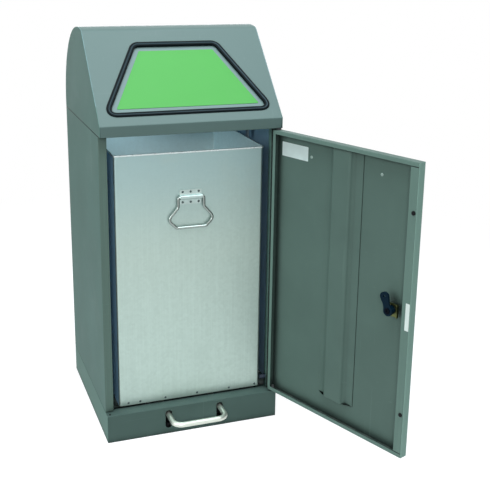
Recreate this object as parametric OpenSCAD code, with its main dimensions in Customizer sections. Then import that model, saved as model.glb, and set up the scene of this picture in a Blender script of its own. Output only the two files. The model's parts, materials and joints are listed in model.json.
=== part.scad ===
// Pedal recycling bin: sheet-steel cabinet on a plinth, sloped hood with an
// inward flap worked by the pedal through a push rod, hinged front door and
// a loose galvanised inner container. Origin: centre of the footprint on the
// floor, X to the right, the front faces -Y, Z up.

/* [Cabinet] */
// Width over the side panels
width = 400; // [380:5:460]
// Depth of the footprint, front to back
depth = 400; // [380:5:460]
// Height of the plinth
plinth_h = 65; // [62:1:90]
// Height of the cabinet between plinth and hood
cabinet_h = 625; // [600:5:760]
// Thickness of the painted sheet steel
sheet = 1.2; // [1:0.1:2]
// Width of the in-turned flanges that join plinth, cabinet and hood
flange_w = 10; // [8:0.5:10]
// Depth of the broad ledge on the plinth and of the front return of the hood
ledge_d = 30; // [26:1:40]
// Width of the door jambs beside the opening
jamb_w = 18; // [16:1:22]
// Depth of the folded return behind each jamb
jamb_return = 14; // [8:1:20]

/* [Hood] */
// Height of the whole hood
hood_h = 205; // [195:5:240]
// Height of the upright band at the foot of the slope
hood_band_h = 23; // [15:1:40]
// Height of the upright part of its back, under the rounding
back_drop = 15; // [10:1:40]
// Radius of the bend along the crest
crest_r = 22; // [15:1:30]
// Distance of the crest bend behind the front
crest_run = 184; // [170:2:200]
// Diameter of the hanging hole in the sides of the hood
hang_hole_d = 5; // [3:1:8]

/* [Flap] */
// Distance of the rubber trim above the foot of the slope
trim_low = 22; // [15:1:30]
// Distance of the rubber trim below the head of the slope
trim_high = 28.5; // [25:0.5:50]
// Distance of the trim from the sides of the hood, at its foot
trim_side = 9; // [9:0.5:45]
// Width of the trimmed opening at its head
trim_w_top = 193; // [160:1:220]
// Width of the rubber trim
trim_w = 11; // [8:1:14]
// Corner radius of the rubber trim
trim_r = 22; // [20:1:30]
// Height of the trim above the sheet
trim_proud = 2.6; // [1.5:0.1:4]
// Grey margin between the trim and the coloured insert
insert_margin = 10.5; // [5:0.5:15]
// Thickness of the coloured insert
insert_t = 0.8; // [0.5:0.1:1.5]
// Depth of the folded rim of the flap
flap_rim = 10; // [6:1:12]
// Opening angle of the flap
flap_angle = 55; // [40:1:58]
// Diameter of the flap shaft
flap_shaft_d = 8; // [6:1:8]

/* [Pedal] */
// Diameter of the pedal bow
bow_d = 12; // [10:1:13]
// Distance between the two legs of the bow, centre to centre
bow_w = 121; // [100:1:140]
// Reach of the bow in front of the plinth, to the centre of its bar
bow_reach = 54; // [50:1:70]
// Inner bend radius of the bow
bow_bend = 14; // [10:1:20]
// Height of the pedal shaft above the floor
pedal_z = 46.5; // [45:0.5:47]
// Distance of the pedal shaft behind the front
pedal_back = 90; // [85:1:110]
// Angle through which the pedal is pressed
pedal_angle = 12; // [8:0.5:12]
// Gap between a leg of the bow and the side of its slot
slot_side = 1.7; // [1.5:0.1:3]
// Gap between the pressed leg and the lower end of its slot
slot_under = 7.9; // [2:0.1:8]
// Gap between the leg at rest and the upper end of its slot
slot_over = 4.9; // [2:0.1:6]
// Diameter of the pedal cross shaft
pedal_shaft_d = 12; // [10:1:12]
// Outer diameter of the return springs
spring_d = 14; // [12:1:16]
// Wire diameter of the return springs
spring_wire = 1.6; // [1.2:0.1:2]
// Free play between a pin and the side of its slot
pin_play = 0.4; // [0.3:0.05:0.6]
// Width of the flat push rod
rod_w = 14; // [12:1:16]
// Thickness of the flat push rod
rod_t = 3; // [2:0.5:3]
// Diameter of the pins in the push rod
rod_pin_d = 6; // [5:0.5:6]

/* [Door] */
// Thickness of the door
door_t = 18; // [16:1:20]
// Gap between the closed door and the jambs
door_gap = 2; // [2:0.5:4]
// Gap over and under the door
door_clear = 3.5; // [3:0.5:5]
// Angle at which the door stands open
door_open = 111.2; // [90:0.1:118]
// Distance of the hinge line from the outer corner of the door
hinge_in = 6; // [6:0.5:7]
// Width of the folded lip on the free side of the door
lip_free = 20; // [16:1:24]
// Width of the other folded lips
lip_other = 8.5; // [7:0.5:12]
// Width of the stiffener over its flanges
stiffener_w = 100; // [90:2:120]
// Width of the raised face of the stiffener
stiffener_face = 48; // [40:2:56]
// Height of the stiffener above the door sheet
stiffener_h = 14; // [10:1:14]
// Distance of the lock from the free edge of the door
lock_in = 50; // [44:1:60]
// Length of the lock lever between its two centres
lever_len = 30; // [28:1:36]
// Lean of the unlocked lever from upright
lever_lean = 20; // [0:5:30]

/* [Container] */
// Gap between the container and the outside of each side panel
can_gap_side = 33; // [33:1:60]
// Gap between the container and the back of the bin
can_gap_back = 32; // [20:1:60]
// Gap between the top of the container and the foot of the hood
can_gap_top = 44; // [44:1:100]
// Setback of the container behind the front of the bin
can_back = 28; // [28:1:32]
// Sheet thickness of the container
can_t = 1; // [0.8:0.1:1.5]
// Radius of its upright corners
can_r = 5; // [3:1:8]
// Height of the folded top rim
can_rim_h = 3.5; // [3:0.5:12]
// Distance of the rim in front of the walls
can_rim_t = 2; // [1:0.5:2]
// Wire diameter of the carrying handle
bail_d = 6; // [5:0.5:6]
// Height of the handle hinge under the rim of the container
bail_down = 100; // [80:5:140]
// Greatest width of the handle, centre to centre
bail_w = 100; // [90:2:110]
// Length of the handle below its hinge
bail_len = 68; // [60:2:80]

/* [Hidden] */
$fn = 64;

// Main planes
side = width / 2;
front = -depth / 2;
back = depth / 2;
in_x = side - sheet;
hood_z = plinth_h + cabinet_h;
jamb_y = front + door_t + door_gap;
jamb_x = side - jamb_w;
tiny = 0.01;

// Running clearances
run = 0.05;
seat = 0.3;

// Hood profile: the crest bend sits inside the rounded back and the slope is its tangent
back_r = hood_h - back_drop;
back_c = [back - back_r, hood_z + back_drop];
crest_y = front + crest_run;
crest_c = [crest_y, back_c[1] + sqrt(pow(back_r - crest_r, 2) - pow(crest_y - back_c[0], 2))];
slope_z = hood_z + hood_band_h;
crest_d = [crest_c[0] - front, crest_c[1] - slope_z];
slope_a = atan2(crest_d[1], crest_d[0]) + asin(crest_r / norm(crest_d));

// Opening and flap, in the plane of the slope
slope_len = sqrt(pow(norm(crest_d), 2) - pow(crest_r, 2));
trim_top = slope_len - trim_high;
trim_half = side - trim_side;
trim_lean = atan2(trim_half - trim_w_top / 2, trim_top - trim_low);
trim_lip = 2.5;
flap_deep = sheet + trim_lip + seat;
flap_over = trim_w - 9;
axis_u = trim_top + 11;
axis_deep = 12;
flap_y = front + axis_u * cos(slope_a) + axis_deep * sin(slope_a);
flap_z = slope_z + axis_u * sin(slope_a) - axis_deep * cos(slope_a);
arm_x = 80;
flap_bearing_x = 100;
flap_eye_r = flap_shaft_d / 2 + 4;

// Push rod drive: pedal arm and flap crank give the rod the same stroke
pedal_y = front + pedal_back;
crank_h = (flap_y - pedal_y) * sin(pedal_angle / 2) / (tan(flap_angle / 2) - sin(pedal_angle / 2));
rod_y = flap_y + crank_h;
arm_r = rod_y - pedal_y;
stroke = 2 * arm_r * sin(pedal_angle / 2);
pin_low_z = pedal_z - stroke / 2;
pin_high_z = flap_z - stroke / 2;
rod_x = side - 15;
rod_gap = 1;
crank_t = 3;
crank_x = rod_x + rod_t + rod_gap;
pin_r = rod_pin_d / 2;
pin_end_x = crank_x + crank_t + 0.6;

// Pedal parts
shaft_r = pedal_shaft_d / 2;
leg_x = bow_w / 2;
bow_r = bow_d / 2;
slot_w = bow_d + 2 * slot_side;
slot_low = pedal_z - pedal_back * tan(pedal_angle) - bow_r / cos(pedal_angle) - slot_under;
slot_high = pedal_z + bow_r + slot_over;
bearing_x = [-(leg_x + 27), leg_x + 91];
bearing_t = 4;
base_t = 2;
foot_d = 34;
foot_t = 2.5;
bush_wall = 2;
foot_w = 17;
foot_in = 8;
foot_screw = 10;
eye_wall = 4;
collar_w = 3;
buffer_r = 5;
buffer_back = 10;
relief_d = 5;
relief_in = 7;
buffer_top = pedal_z - (pedal_back - buffer_back + buffer_r) * tan(pedal_angle)
    - bow_r / cos(pedal_angle) - seat;
spring_back = 48;

// Floor of the cabinet and seat of the container
foot_gap = 1.8;
floor_z = plinth_h + 2 * sheet;
runner_t = 2.3;
runner_w = 24;
rod_clear = 3;
guide_t = 3;
guide_h = 16;
guide_up = 22;
guide_r = 5;
can_z = floor_z + runner_t + seat;
can_y = front + can_back;
can_w = width - 2 * can_gap_side;
can_d = depth - can_back - can_gap_back;
can_top = hood_z - can_gap_top;
can_h = can_top - can_z;
base_h = 9;
can_half = can_w / 2;
rim_half = can_half + can_rim_t;

// Hanging hole of the hood
hang_y = 60;
hang_down = 30;

// Door, drawn closed and then swung open about its hinge line
hinge = [side - hinge_in, front + hinge_in];
door_low = plinth_h + door_clear;
door_high = hood_z - door_clear;
lip_y = front + door_t;
pin_d = 6;
bush_d = pin_d + 3;
buffer_zs = [door_low + 96, door_high - 99];
jamb_mid = side - jamb_w * 0.4;
stiffener_low = door_low + 50;
lock_x = -side + lock_in;
lock_z = (door_low + door_high) / 2;
lock_r = 9.5;
core_r = 7;
lever_y = jamb_y + sheet + 0.6;
lever_t = 4;
lever_hub_r = 11;
lever_head_r = 9;
latch_slot_h = 60;
square_w = 8;
clip = [30, 5, 28];
clip_t = 1.5;
clip_y = front + 11;

// Handle of the container
handle_y = can_y - 5.5;
handle_z = can_top - bail_down;
barrel_r = 5;
barrel_half = 25;
bracket_t = 1.5;
bail_r = bail_d / 2;

// Screws that join plinth, cabinet and hood
screw_r = 2;
screw_x = side - flange_w / 2 - sheet / 2;
screw_ys = [front + depth * 0.25, back - depth * 0.2];
head_h = 2;

// Children extruded along X, centred, from a (y, z) outline
module along_x(len) {
    rotate([90, 0, 90])
        linear_extrude(len, center = true)
            children();
}

// Upright slot outline in an (x, z) plane, with round ends
module slot_outline(w, z0, z1) {
    translate([-w / 2, z0 + w / 2])
        square([w, z1 - z0 - w]);
    translate([0, z0 + w / 2])
        circle(d = w);
    translate([0, z1 - w / 2])
        circle(d = w);
}

// Rounded rectangle, centred in X and starting at y
module round_rect(w, d, r, y) {
    translate([-w / 2 + r, y])
        square([w - 2 * r, d]);
    translate([-w / 2, y + r])
        square([w, d - 2 * r]);
    for (sx = [-1, 1], sy = [0, 1])
        translate([sx * (w / 2 - r), y + r + sy * (d - 2 * r)])
            circle(r);
}

// Cylinder along X between two x positions
module rod_along_x(x0, x1, r) {
    translate([x0, 0, 0])
        rotate([0, 90, 0])
            cylinder(r = r, h = x1 - x0);
}

// Domed head of a rivet, its foot in the plane z = 0
module rivet_head(r, h) {
    s = (r * r + h * h) / (2 * h);
    intersection() {
        translate([0, 0, h - s])
            sphere(s);
        cylinder(r = r, h = h);
    }
}

// Places children in the plane of the slope: X across, Y up the slope, Z outwards
module on_slope() {
    translate([0, front, slope_z])
        rotate([slope_a, 0, 0])
            children();
}

// Side outline of the hood in (y, z), drawn smaller by inset
module hood_outline(inset = 0) {
    fr = crest_r - inset;
    br = back_r - inset;
    t1 = crest_c + fr * [-sin(slope_a), cos(slope_a)];
    knee_z = slope_z - inset * cos(slope_a) + inset * (1 - sin(slope_a)) * tan(slope_a);
    v = crest_c - back_c;
    far = back_c + v / norm(v) * 2 * back_r;
    polygon([[front + inset, hood_z], [front + inset, knee_z], t1, crest_c, back_c,
        [back_c[0], hood_z]]);
    translate(crest_c)
        circle(fr, $fn = 96);
    intersection() {
        translate(back_c)
            circle(br, $fn = 180);
        polygon([back_c, far, back_c + [2, 2] * back_r, back_c + [2 * back_r, 0]]);
    }
    translate([back_c[0] - tiny, hood_z])
        square([back - inset - back_c[0] + tiny, back_c[1] - hood_z + tiny]);
}

// Points of the trapezoid in the slope plane, drawn smaller by inset, with corner radius r
function arc(c, r, a0, a1, n = 10) = [for (i = [0:n]) let (a = a0 + (a1 - a0) * i / n)
    c + r * [cos(a), sin(a)]];
function side_at(u, inset) = trim_half - (u - trim_low) * tan(trim_lean) - inset / cos(trim_lean);
function trap_half(inset, r) =
    let (u0 = trim_low + inset + r, u1 = trim_top - inset - r,
        c0 = [side_at(u0, inset) - r / cos(trim_lean), u0],
        c1 = [side_at(u1, inset) - r / cos(trim_lean), u1])
    concat(arc(c0, r, -90, trim_lean), arc(c1, r, trim_lean, 90));
module trapezoid(inset, r) {
    right = trap_half(inset, r);
    n = len(right);
    polygon(concat(right, [for (i = [0:n - 1]) [-right[n - 1 - i][0], right[n - 1 - i][1]]]));
}

// Door parts are drawn closed inside this module
module door_place() {
    translate([hinge[0], hinge[1], 0])
        rotate([0, 0, door_open])
            translate([-hinge[0], -hinge[1], 0])
                children();
}

// Lock parts turn about an axis along Y through the lock
module lock_place(y) {
    translate([lock_x, y, lock_z])
        rotate([-90, 0, 0])
            children();
}

// Screw holes through the flanges at one height
module screw_holes(z, sides = [-1, 1], r = screw_r + run) {
    for (sx = sides, y = screw_ys)
        translate([sx * screw_x, y, z - 5])
            cylinder(r = r, h = 10);
}

// Plinth: folded frame with a broad front ledge, two pedal slots and a relief hole
module plinth_shell() {
    color("#5f7770")
    difference() {
        translate([-side, front, 0])
            cube([width, depth, plinth_h]);
        translate([-in_x, front + sheet, -tiny])
            cube([2 * in_x, depth - 2 * sheet, plinth_h - sheet + tiny]);
        translate([-side + flange_w, front + ledge_d, plinth_h - 2 * sheet])
            cube([width - 2 * flange_w, depth - ledge_d - flange_w, 3 * sheet]);
        for (sx = [-1, 1])
            translate([sx * leg_x, front + 2 * sheet, 0])
                rotate([90, 0, 0])
                    linear_extrude(4 * sheet)
                        slot_outline(slot_w, slot_low, slot_high);
        translate([-side + relief_in, front + relief_in, plinth_h - 5])
            cylinder(d = relief_d, h = 10);
        translate([hinge[0], hinge[1], plinth_h - 5])
            cylinder(d = pin_d, h = 10);
        screw_holes(plinth_h);
    }
}

// Base plate closing the plinth; its underside stands on the floor
module base_plate() {
    color("#9ea7a8")
    difference() {
        union() {
            translate([-in_x, front + sheet, 0])
                cube([2 * in_x, depth - 2 * sheet, base_t]);
            for (sx = [-1, 1])
                translate([sx * leg_x, front + spring_back, base_t - tiny])
                    cylinder(d = spring_d - 2 * spring_wire - 1, h = 5);
        }
        for (i = [0, 1], dy = [-1, 1])
            translate([foot_x(i), pedal_y + dy * foot_screw, -tiny])
                cylinder(r = screw_r, h = 2 * base_t);
    }
}

// Rubber buffers that stop the legs of the pedal just behind the slots
module pedal_buffers() {
    color("#20262a")
    for (sx = [-1, 1])
        translate([sx * leg_x, front + buffer_back, base_t])
            cylinder(r = buffer_r, h = buffer_top - base_t);
}

// Foot of a bearing bracket, on the side of the bracket away from the middle
function foot_x(i) = bearing_x[i] + (i == 0 ? -1 : 1) * (bearing_t / 2 + foot_in);

// Bearing bracket: upright plate with an eye, standing on a folded foot
module bearing(i) {
    eye_r = shaft_r + bush_wall + eye_wall;
    color("#aab3b4")
    difference() {
        union() {
            translate([bearing_x[i], 0, 0])
                along_x(bearing_t) {
                    translate([pedal_y - eye_r, base_t])
                        square([2 * eye_r, pedal_z - base_t]);
                    translate([pedal_y, pedal_z])
                        circle(eye_r);
                }
            translate([foot_x(i) - foot_w / 2, pedal_y - foot_d / 2, base_t])
                cube([foot_w, foot_d, foot_t]);
        }
        translate([bearing_x[i] - 10, pedal_y, pedal_z])
            rod_along_x(0, 20, shaft_r + bush_wall);
        for (dy = [-1, 1])
            translate([foot_x(i), pedal_y + dy * foot_screw, 0])
                cylinder(r = screw_r, h = 10);
    }
}
module bearing_left() {
    bearing(0);
}
module bearing_right() {
    bearing(1);
}

// Plastic bushes pressed into the brackets
module bearing_bushes() {
    color("#e7e4da")
    for (i = [0, 1])
        translate([bearing_x[i], pedal_y, pedal_z])
            difference() {
                union() {
                    rod_along_x(-bearing_t / 2 - 1.5, bearing_t / 2, shaft_r + bush_wall);
                    rod_along_x(-bearing_t / 2 - 1.5, -bearing_t / 2, shaft_r + bush_wall + 2);
                }
                rod_along_x(-20, 20, shaft_r + run);
            }
}

// Screws that hold the feet of the brackets
module bearing_screws() {
    color("#b9bfc0")
    for (i = [0, 1], dy = [-1, 1])
        translate([foot_x(i), pedal_y + dy * foot_screw, 0]) {
            translate([0, 0, 0.3])
                cylinder(r = screw_r, h = base_t + foot_t);
            translate([0, 0, base_t + foot_t])
                rivet_head(2 * screw_r, head_h);
        }
}

// Helical return spring under each leg, with closed end turns
spring_turns = 6;
spring_h = pedal_z - bow_r - base_t - 0.2;
spring_mean = (spring_d - spring_wire) / 2;
spring_sides = 6;
spring_steps = 48;
function spring_rise(t) = t < 1 / 6 ? 0.25 * t : (t > 5 / 6 ? 1 - 0.25 * (1 - t)
    : 1 / 24 + (t - 1 / 6) * (22 / 24) * 1.5);
function spring_point(t) = [spring_mean * cos(360 * spring_turns * t),
    spring_mean * sin(360 * spring_turns * t),
    spring_wire / 2 + (spring_h - spring_wire) * spring_rise(t)];
function spring_ring(t) =
    let (a = 360 * spring_turns * t, c = spring_point(t), out = [cos(a), sin(a), 0])
    [for (k = [0:spring_sides - 1]) let (b = 360 * k / spring_sides)
        c + spring_wire / 2 * (cos(b) * out + sin(b) * [0, 0, 1])];
module spring() {
    n = spring_steps;
    m = spring_sides;
    rings = [for (i = [0:n]) each spring_ring(i / n)];
    walls = [for (i = [0:n - 1], k = [0:m - 1]) let (a = i * m + k, b = i * m + (k + 1) % m)
        each [[a, a + m, b], [b, a + m, b + m]]];
    low = [for (k = [1:m - 2]) [0, k, k + 1]];
    high = [for (k = [1:m - 2]) [n * m, n * m + k + 1, n * m + k]];
    polyhedron(concat(rings), concat(walls, low, high));
}
module return_springs() {
    color("#b8bdbf")
    for (sx = [-1, 1])
        translate([sx * leg_x, front + spring_back, base_t + 0.1])
            spring();
}

// Floor of the cabinet, with a slot for the push rod
module floor_panel() {
    color("#9ea7a8")
    difference() {
        translate([-in_x, jamb_y + jamb_return, plinth_h + sheet])
            cube([2 * in_x, back - sheet - jamb_y - jamb_return - sheet, sheet]);
        translate([rod_x - rod_clear, rod_y - rod_w / 2 - rod_clear, plinth_h])
            cube([rod_t + 2 * rod_clear, rod_w + 2 * rod_clear, 10]);
        screw_holes(plinth_h);
    }
}

// Skid strips under the side walls of the container
module floor_runners() {
    color("#b4bdbe")
    for (sx = [-1, 1])
        translate([sx * (can_half - runner_w / 4) - runner_w / 2, jamb_y + jamb_return + 4, floor_z])
            cube([runner_w, can_d - runner_w, runner_t]);
}

// Plan outline of the right side panel: jamb return, jamb, wall and rear flange
module panel_plan() {
    difference() {
        translate([jamb_x, jamb_y])
            square([jamb_w, back - jamb_y]);
        translate([jamb_x + sheet, jamb_y + sheet])
            square([jamb_w - 2 * sheet, back - jamb_y - 2 * sheet]);
        translate([jamb_x - 1, jamb_y + jamb_return])
            square([jamb_w - 3, back - jamb_y - jamb_return - 2 * sheet]);
        translate([jamb_x - 1, jamb_y + jamb_return])
            square([4, depth]);
    }
}

// Side panel on the right, its jamb clear of the plinth; the left one is its mirror image
module side_panel() {
    difference() {
        union() {
            translate([0, 0, plinth_h])
                linear_extrude(cabinet_h)
                    panel_plan();
            for (z = [plinth_h, hood_z - sheet])
                translate([side - flange_w, jamb_y + jamb_return, z])
                    cube([flange_w - sheet / 2, back - jamb_y - jamb_return - 2 * sheet, sheet]);
        }
        translate([jamb_x - 1, jamb_y - 1, plinth_h - 1])
            cube([jamb_w - sheet + 1, jamb_return + 2, foot_gap + 1]);
        screw_holes(plinth_h, [1]);
        screw_holes(hood_z, [1]);
    }
}
module right_panel() {
    color("#6f8a83")
        side_panel();
}

// Left side panel, with the window behind the jamb for the lock lever
module left_panel() {
    color("#6f8a83")
    mirror([1, 0, 0])
        difference() {
            side_panel();
            translate([jamb_x - 1, jamb_y + sheet, lock_z - latch_slot_h / 3])
                cube([3, jamb_return - 2 * sheet - 2, latch_slot_h]);
        }
}

// Back panel, lying inside the rear flanges
module back_panel() {
    color("#6f8a83")
    translate([-in_x, back - 2 * sheet, plinth_h])
        cube([2 * in_x, sheet, cabinet_h]);
}

// Plastic buffer low on the right jamb return, beside the container
module guide_buffers() {
    color("#56707f")
    translate([0, jamb_y + jamb_return / 2, can_z + guide_up])
        rod_along_x(can_half + 1, jamb_x, guide_r);
}

// Guides that hold the push rod against the right wall
module rod_guides() {
    guide_w = rod_w + 10;
    color("#aab3b4")
    for (z = [plinth_h + 60, hood_z - 90])
        difference() {
            union() {
                translate([rod_x - guide_t, rod_y - guide_w / 2, z])
                    cube([in_x - rod_x + guide_t, guide_w, guide_t]);
                translate([in_x - 2, rod_y - guide_w / 2, z])
                    cube([2, guide_w, guide_h]);
            }
            translate([rod_x - seat, rod_y - rod_w / 2 - seat, z - 1])
                cube([rod_t + 2 * seat, rod_w + 2 * seat, guide_t + 2]);
        }
}

// Hood: one sheet folded up the slope, over the crest and down the rounded back
module hood_wrap() {
    color("#839b95")
    difference() {
        union() {
            along_x(2 * in_x)
                difference() {
                    hood_outline();
                    hood_outline(sheet);
                }
            translate([-in_x, front + sheet / 2, hood_z])
                cube([2 * in_x, ledge_d - sheet / 2, sheet]);
            translate([-in_x, back - flange_w, hood_z])
                cube([2 * in_x, flange_w - sheet / 2, sheet]);
        }
        on_slope()
            translate([0, 0, -10])
                linear_extrude(20)
                    trapezoid(trim_w / 2, trim_r - trim_w / 2);
        translate([hinge[0], hinge[1], hood_z - 5])
            cylinder(d = pin_d, h = 10);
    }
}

// Side of the hood: a flat plate to the full outline, with a foot flange and a hanging hole
module hood_side() {
    difference() {
        union() {
            translate([side - sheet / 2, 0, 0])
                along_x(sheet)
                    hood_outline();
            translate([side - flange_w, front + ledge_d, hood_z])
                cube([flange_w - sheet, depth - ledge_d - flange_w, sheet]);
        }
        translate([side - 5, hang_y, hood_z + hood_h - hang_down])
            rod_along_x(0, 10, hang_hole_d / 2);
        screw_holes(hood_z, [1]);
    }
}
module hood_side_right() {
    color("#6f8a83")
        hood_side();
}
module hood_side_left() {
    color("#6f8a83")
    mirror([1, 0, 0])
        hood_side();
}

// Rubber trim gripping the edge of the opening, with a raised bead
module opening_trim() {
    color("#1c2329")
    on_slope()
        difference() {
            union() {
                translate([0, 0, -sheet - trim_lip])
                    linear_extrude(sheet + trim_lip + trim_proud * 0.6)
                        trapezoid(0, trim_r);
                linear_extrude(trim_proud)
                    trapezoid(trim_w * 0.2, trim_r - trim_w * 0.2);
            }
            translate([0, 0, -20])
                linear_extrude(40)
                    trapezoid(trim_w, trim_r - trim_w);
            translate([0, 0, trim_proud * 0.25])
                linear_extrude(20)
                    difference() {
                        trapezoid(trim_w * 0.45, trim_r - trim_w * 0.45);
                        trapezoid(trim_w * 0.6, trim_r - trim_w * 0.6);
                    }
            translate([0, 0, -sheet])
                linear_extrude(sheet)
                    difference() {
                        trapezoid(-5, trim_r + 5);
                        trapezoid(trim_w / 2, trim_r - trim_w / 2);
                    }
        }
}

// Bearing plates welded under the slope that carry the flap shaft
module flap_bearings() {
    color("#839b95")
    for (x = [-flap_bearing_x, flap_bearing_x, rod_x - 15])
        on_slope()
            translate([x, 0, 0])
                difference() {
                    along_x(4) {
                        translate([axis_u - flap_eye_r + 2, -axis_deep])
                            square([2 * flap_eye_r - 4, axis_deep - sheet]);
                        translate([axis_u, -axis_deep])
                            circle(flap_eye_r);
                    }
                    translate([0, axis_u, -axis_deep])
                        rod_along_x(-5, 5, flap_shaft_d / 2 + run);
                }
}

// Hinge pins of the door: one through the plinth ledge, one through the hood return
module hinge_pins() {
    color("#b9bfc0")
    translate([hinge[0], hinge[1], 0]) {
        translate([0, 0, plinth_h - sheet - 2])
            cylinder(d = pin_d, h = door_clear + sheet + 10);
        translate([0, 0, plinth_h - sheet - 2])
            cylinder(d = bush_d, h = head_h);
        translate([0, 0, hood_z + sheet - door_clear - 10])
            cylinder(d = pin_d, h = door_clear + 12);
        translate([0, 0, hood_z + sheet])
            cylinder(d = bush_d, h = head_h);
    }
}

// Screws through the joined flanges of plinth, cabinet and hood
module joint_screws() {
    color("#b9bfc0")
    for (sx = [-1, 1], y = screw_ys) {
        translate([sx * screw_x, y, plinth_h - sheet - 2])
            cylinder(r = screw_r, h = 3 * sheet + 2);
        translate([sx * screw_x, y, plinth_h + 2 * sheet])
            rivet_head(1.8 * screw_r, head_h);
        translate([sx * screw_x, y, hood_z - sheet - 2])
            cylinder(r = screw_r, h = 2 * sheet + 2);
        translate([sx * screw_x, y, hood_z + sheet])
            rivet_head(1.8 * screw_r, head_h);
    }
}

// Pedal bow: round bar bent to a stirrup, its legs saddled on the shaft
module pedal_bow() {
    bend = bow_bend + bow_r;
    bar_y = front - bow_reach;
    color("#c9d0cd")
    difference() {
        union() {
            translate([0, bar_y, pedal_z])
                rod_along_x(-leg_x + bend, leg_x - bend, bow_r);
            for (sx = [-1, 1]) {
                translate([sx * leg_x, bar_y + bend, pedal_z])
                    rotate([-90, 0, 0])
                        cylinder(r = bow_r, h = pedal_y - bar_y - bend);
                translate([sx * (leg_x - bend), bar_y + bend, pedal_z])
                    rotate([0, 0, sx > 0 ? -90 : 180])
                        rotate_extrude(angle = 90)
                            translate([bend, 0])
                                circle(bow_r);
            }
        }
        translate([0, pedal_y, pedal_z])
            rod_along_x(-side, side, shaft_r);
    }
}

// Cross shaft of the pedal
module pedal_shaft() {
    color("#a9b1b1")
    translate([0, pedal_y, pedal_z])
        rod_along_x(bearing_x[0] - 8, crank_x + crank_t, shaft_r);
}

// Collars that keep the shaft in its bearings
module shaft_collars() {
    color("#8d9596")
    for (x = [bearing_x[0] - bearing_t / 2 - 5, bearing_x[1] + bearing_t / 2 + 1])
        translate([x, pedal_y, pedal_z])
            difference() {
                rod_along_x(0, collar_w, shaft_r + 3);
                rod_along_x(-1, 5, shaft_r);
            }
}

// Slotted lever in a (y, z) plane: hub round the origin, arm along +Y turned by angle
module slotted_lever(hub_r, bore_r, reach0, reach1, end_r, play, angle) {
    translate([crank_x + crank_t / 2, 0, 0])
        along_x(crank_t)
            rotate(angle)
                difference() {
                    union() {
                        circle(hub_r);
                        translate([0, -end_r])
                            square([reach1, 2 * end_r]);
                        translate([reach1, 0])
                            circle(end_r);
                    }
                    circle(bore_r);
                    translate([reach0, -pin_r - play])
                        square([reach1 - reach0, 2 * (pin_r + play)]);
                    for (r = [reach0, reach1])
                        translate([r, 0])
                            circle(pin_r + play);
                }
}

// Arm on the pedal shaft that lifts the push rod
module lift_arm() {
    color("#a9b1b1")
    translate([0, pedal_y, pedal_z])
        slotted_lever(shaft_r + eye_wall, shaft_r, arm_r, arm_r / cos(pedal_angle / 2), pin_r + 3.4,
            pin_play / 2, -pedal_angle / 2);
}

// Flat push rod between the lift arm and the flap crank
module push_rod() {
    color("#aeb6b6")
    translate([rod_x + rod_t / 2, 0, 0])
        along_x(rod_t) {
            translate([rod_y - rod_w / 2, pin_low_z])
                square([rod_w, pin_high_z - pin_low_z]);
            for (z = [pin_low_z, pin_high_z])
                translate([rod_y, z])
                    circle(rod_w / 2);
        }
}

// Headed pins welded to the ends of the push rod
module rod_pins() {
    color("#b9bfc0")
    for (z = [pin_low_z, pin_high_z])
        translate([0, rod_y, z]) {
            rod_along_x(rod_x + rod_t, pin_end_x + 1.5, pin_r);
            rod_along_x(pin_end_x, pin_end_x + 1.5, pin_r + 2);
        }
}

// Flap: folded tray lying behind the trim
module flap_panel() {
    color("#8fa5a0")
    on_slope()
        difference() {
            translate([0, 0, -flap_deep - flap_rim])
                linear_extrude(flap_rim)
                    trapezoid(flap_over, trim_r - flap_over);
            translate([0, 0, -flap_deep - flap_rim - 1])
                linear_extrude(flap_rim + 1 - sheet)
                    trapezoid(flap_over + sheet, trim_r - flap_over - sheet);
        }
}

// Coloured insert on the flap
module flap_insert() {
    color("#76d67a")
    on_slope()
        translate([0, 0, -flap_deep])
            linear_extrude(insert_t)
                trapezoid(trim_w + insert_margin, 2);
}

// Arms that join the flap to its shaft
module flap_arms() {
    edge_u = trim_top - flap_over;
    color("#8fa5a0")
    on_slope()
        for (sx = [-1, 1])
            translate([sx * arm_x, 0, 0])
                difference() {
                    along_x(4) {
                        translate([edge_u, -flap_deep - flap_rim])
                            square([axis_u - edge_u, flap_rim]);
                        translate([axis_u, -axis_deep])
                            circle(flap_eye_r - 0.5);
                    }
                    translate([0, axis_u, -axis_deep])
                        rod_along_x(-5, 5, flap_shaft_d / 2);
                }
}

// Shaft of the flap
module flap_shaft() {
    color("#a9b1b1")
    translate([0, flap_y, flap_z])
        rod_along_x(-flap_bearing_x - 8, crank_x + crank_t, flap_shaft_d / 2);
}

// Crank on the flap shaft, with the slot that takes the pin of the push rod
module flap_crank() {
    color("#a9b1b1")
    translate([0, flap_y, flap_z])
        slotted_lever(flap_shaft_d / 2 + eye_wall, flap_shaft_d / 2, crank_h - pin_play,
            crank_h / cos(flap_angle / 2) + pin_play, pin_r + 3.4, pin_play, -flap_angle / 2);
}

// Collars that keep the flap shaft in its bearings
module flap_collars() {
    color("#8d9596")
    for (x = [-flap_bearing_x - 6, flap_bearing_x + 3])
        translate([x, flap_y, flap_z])
            difference() {
                rod_along_x(0, collar_w, flap_shaft_d / 2 + 2.5);
                rod_along_x(-1, 5, flap_shaft_d / 2);
            }
}

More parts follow.
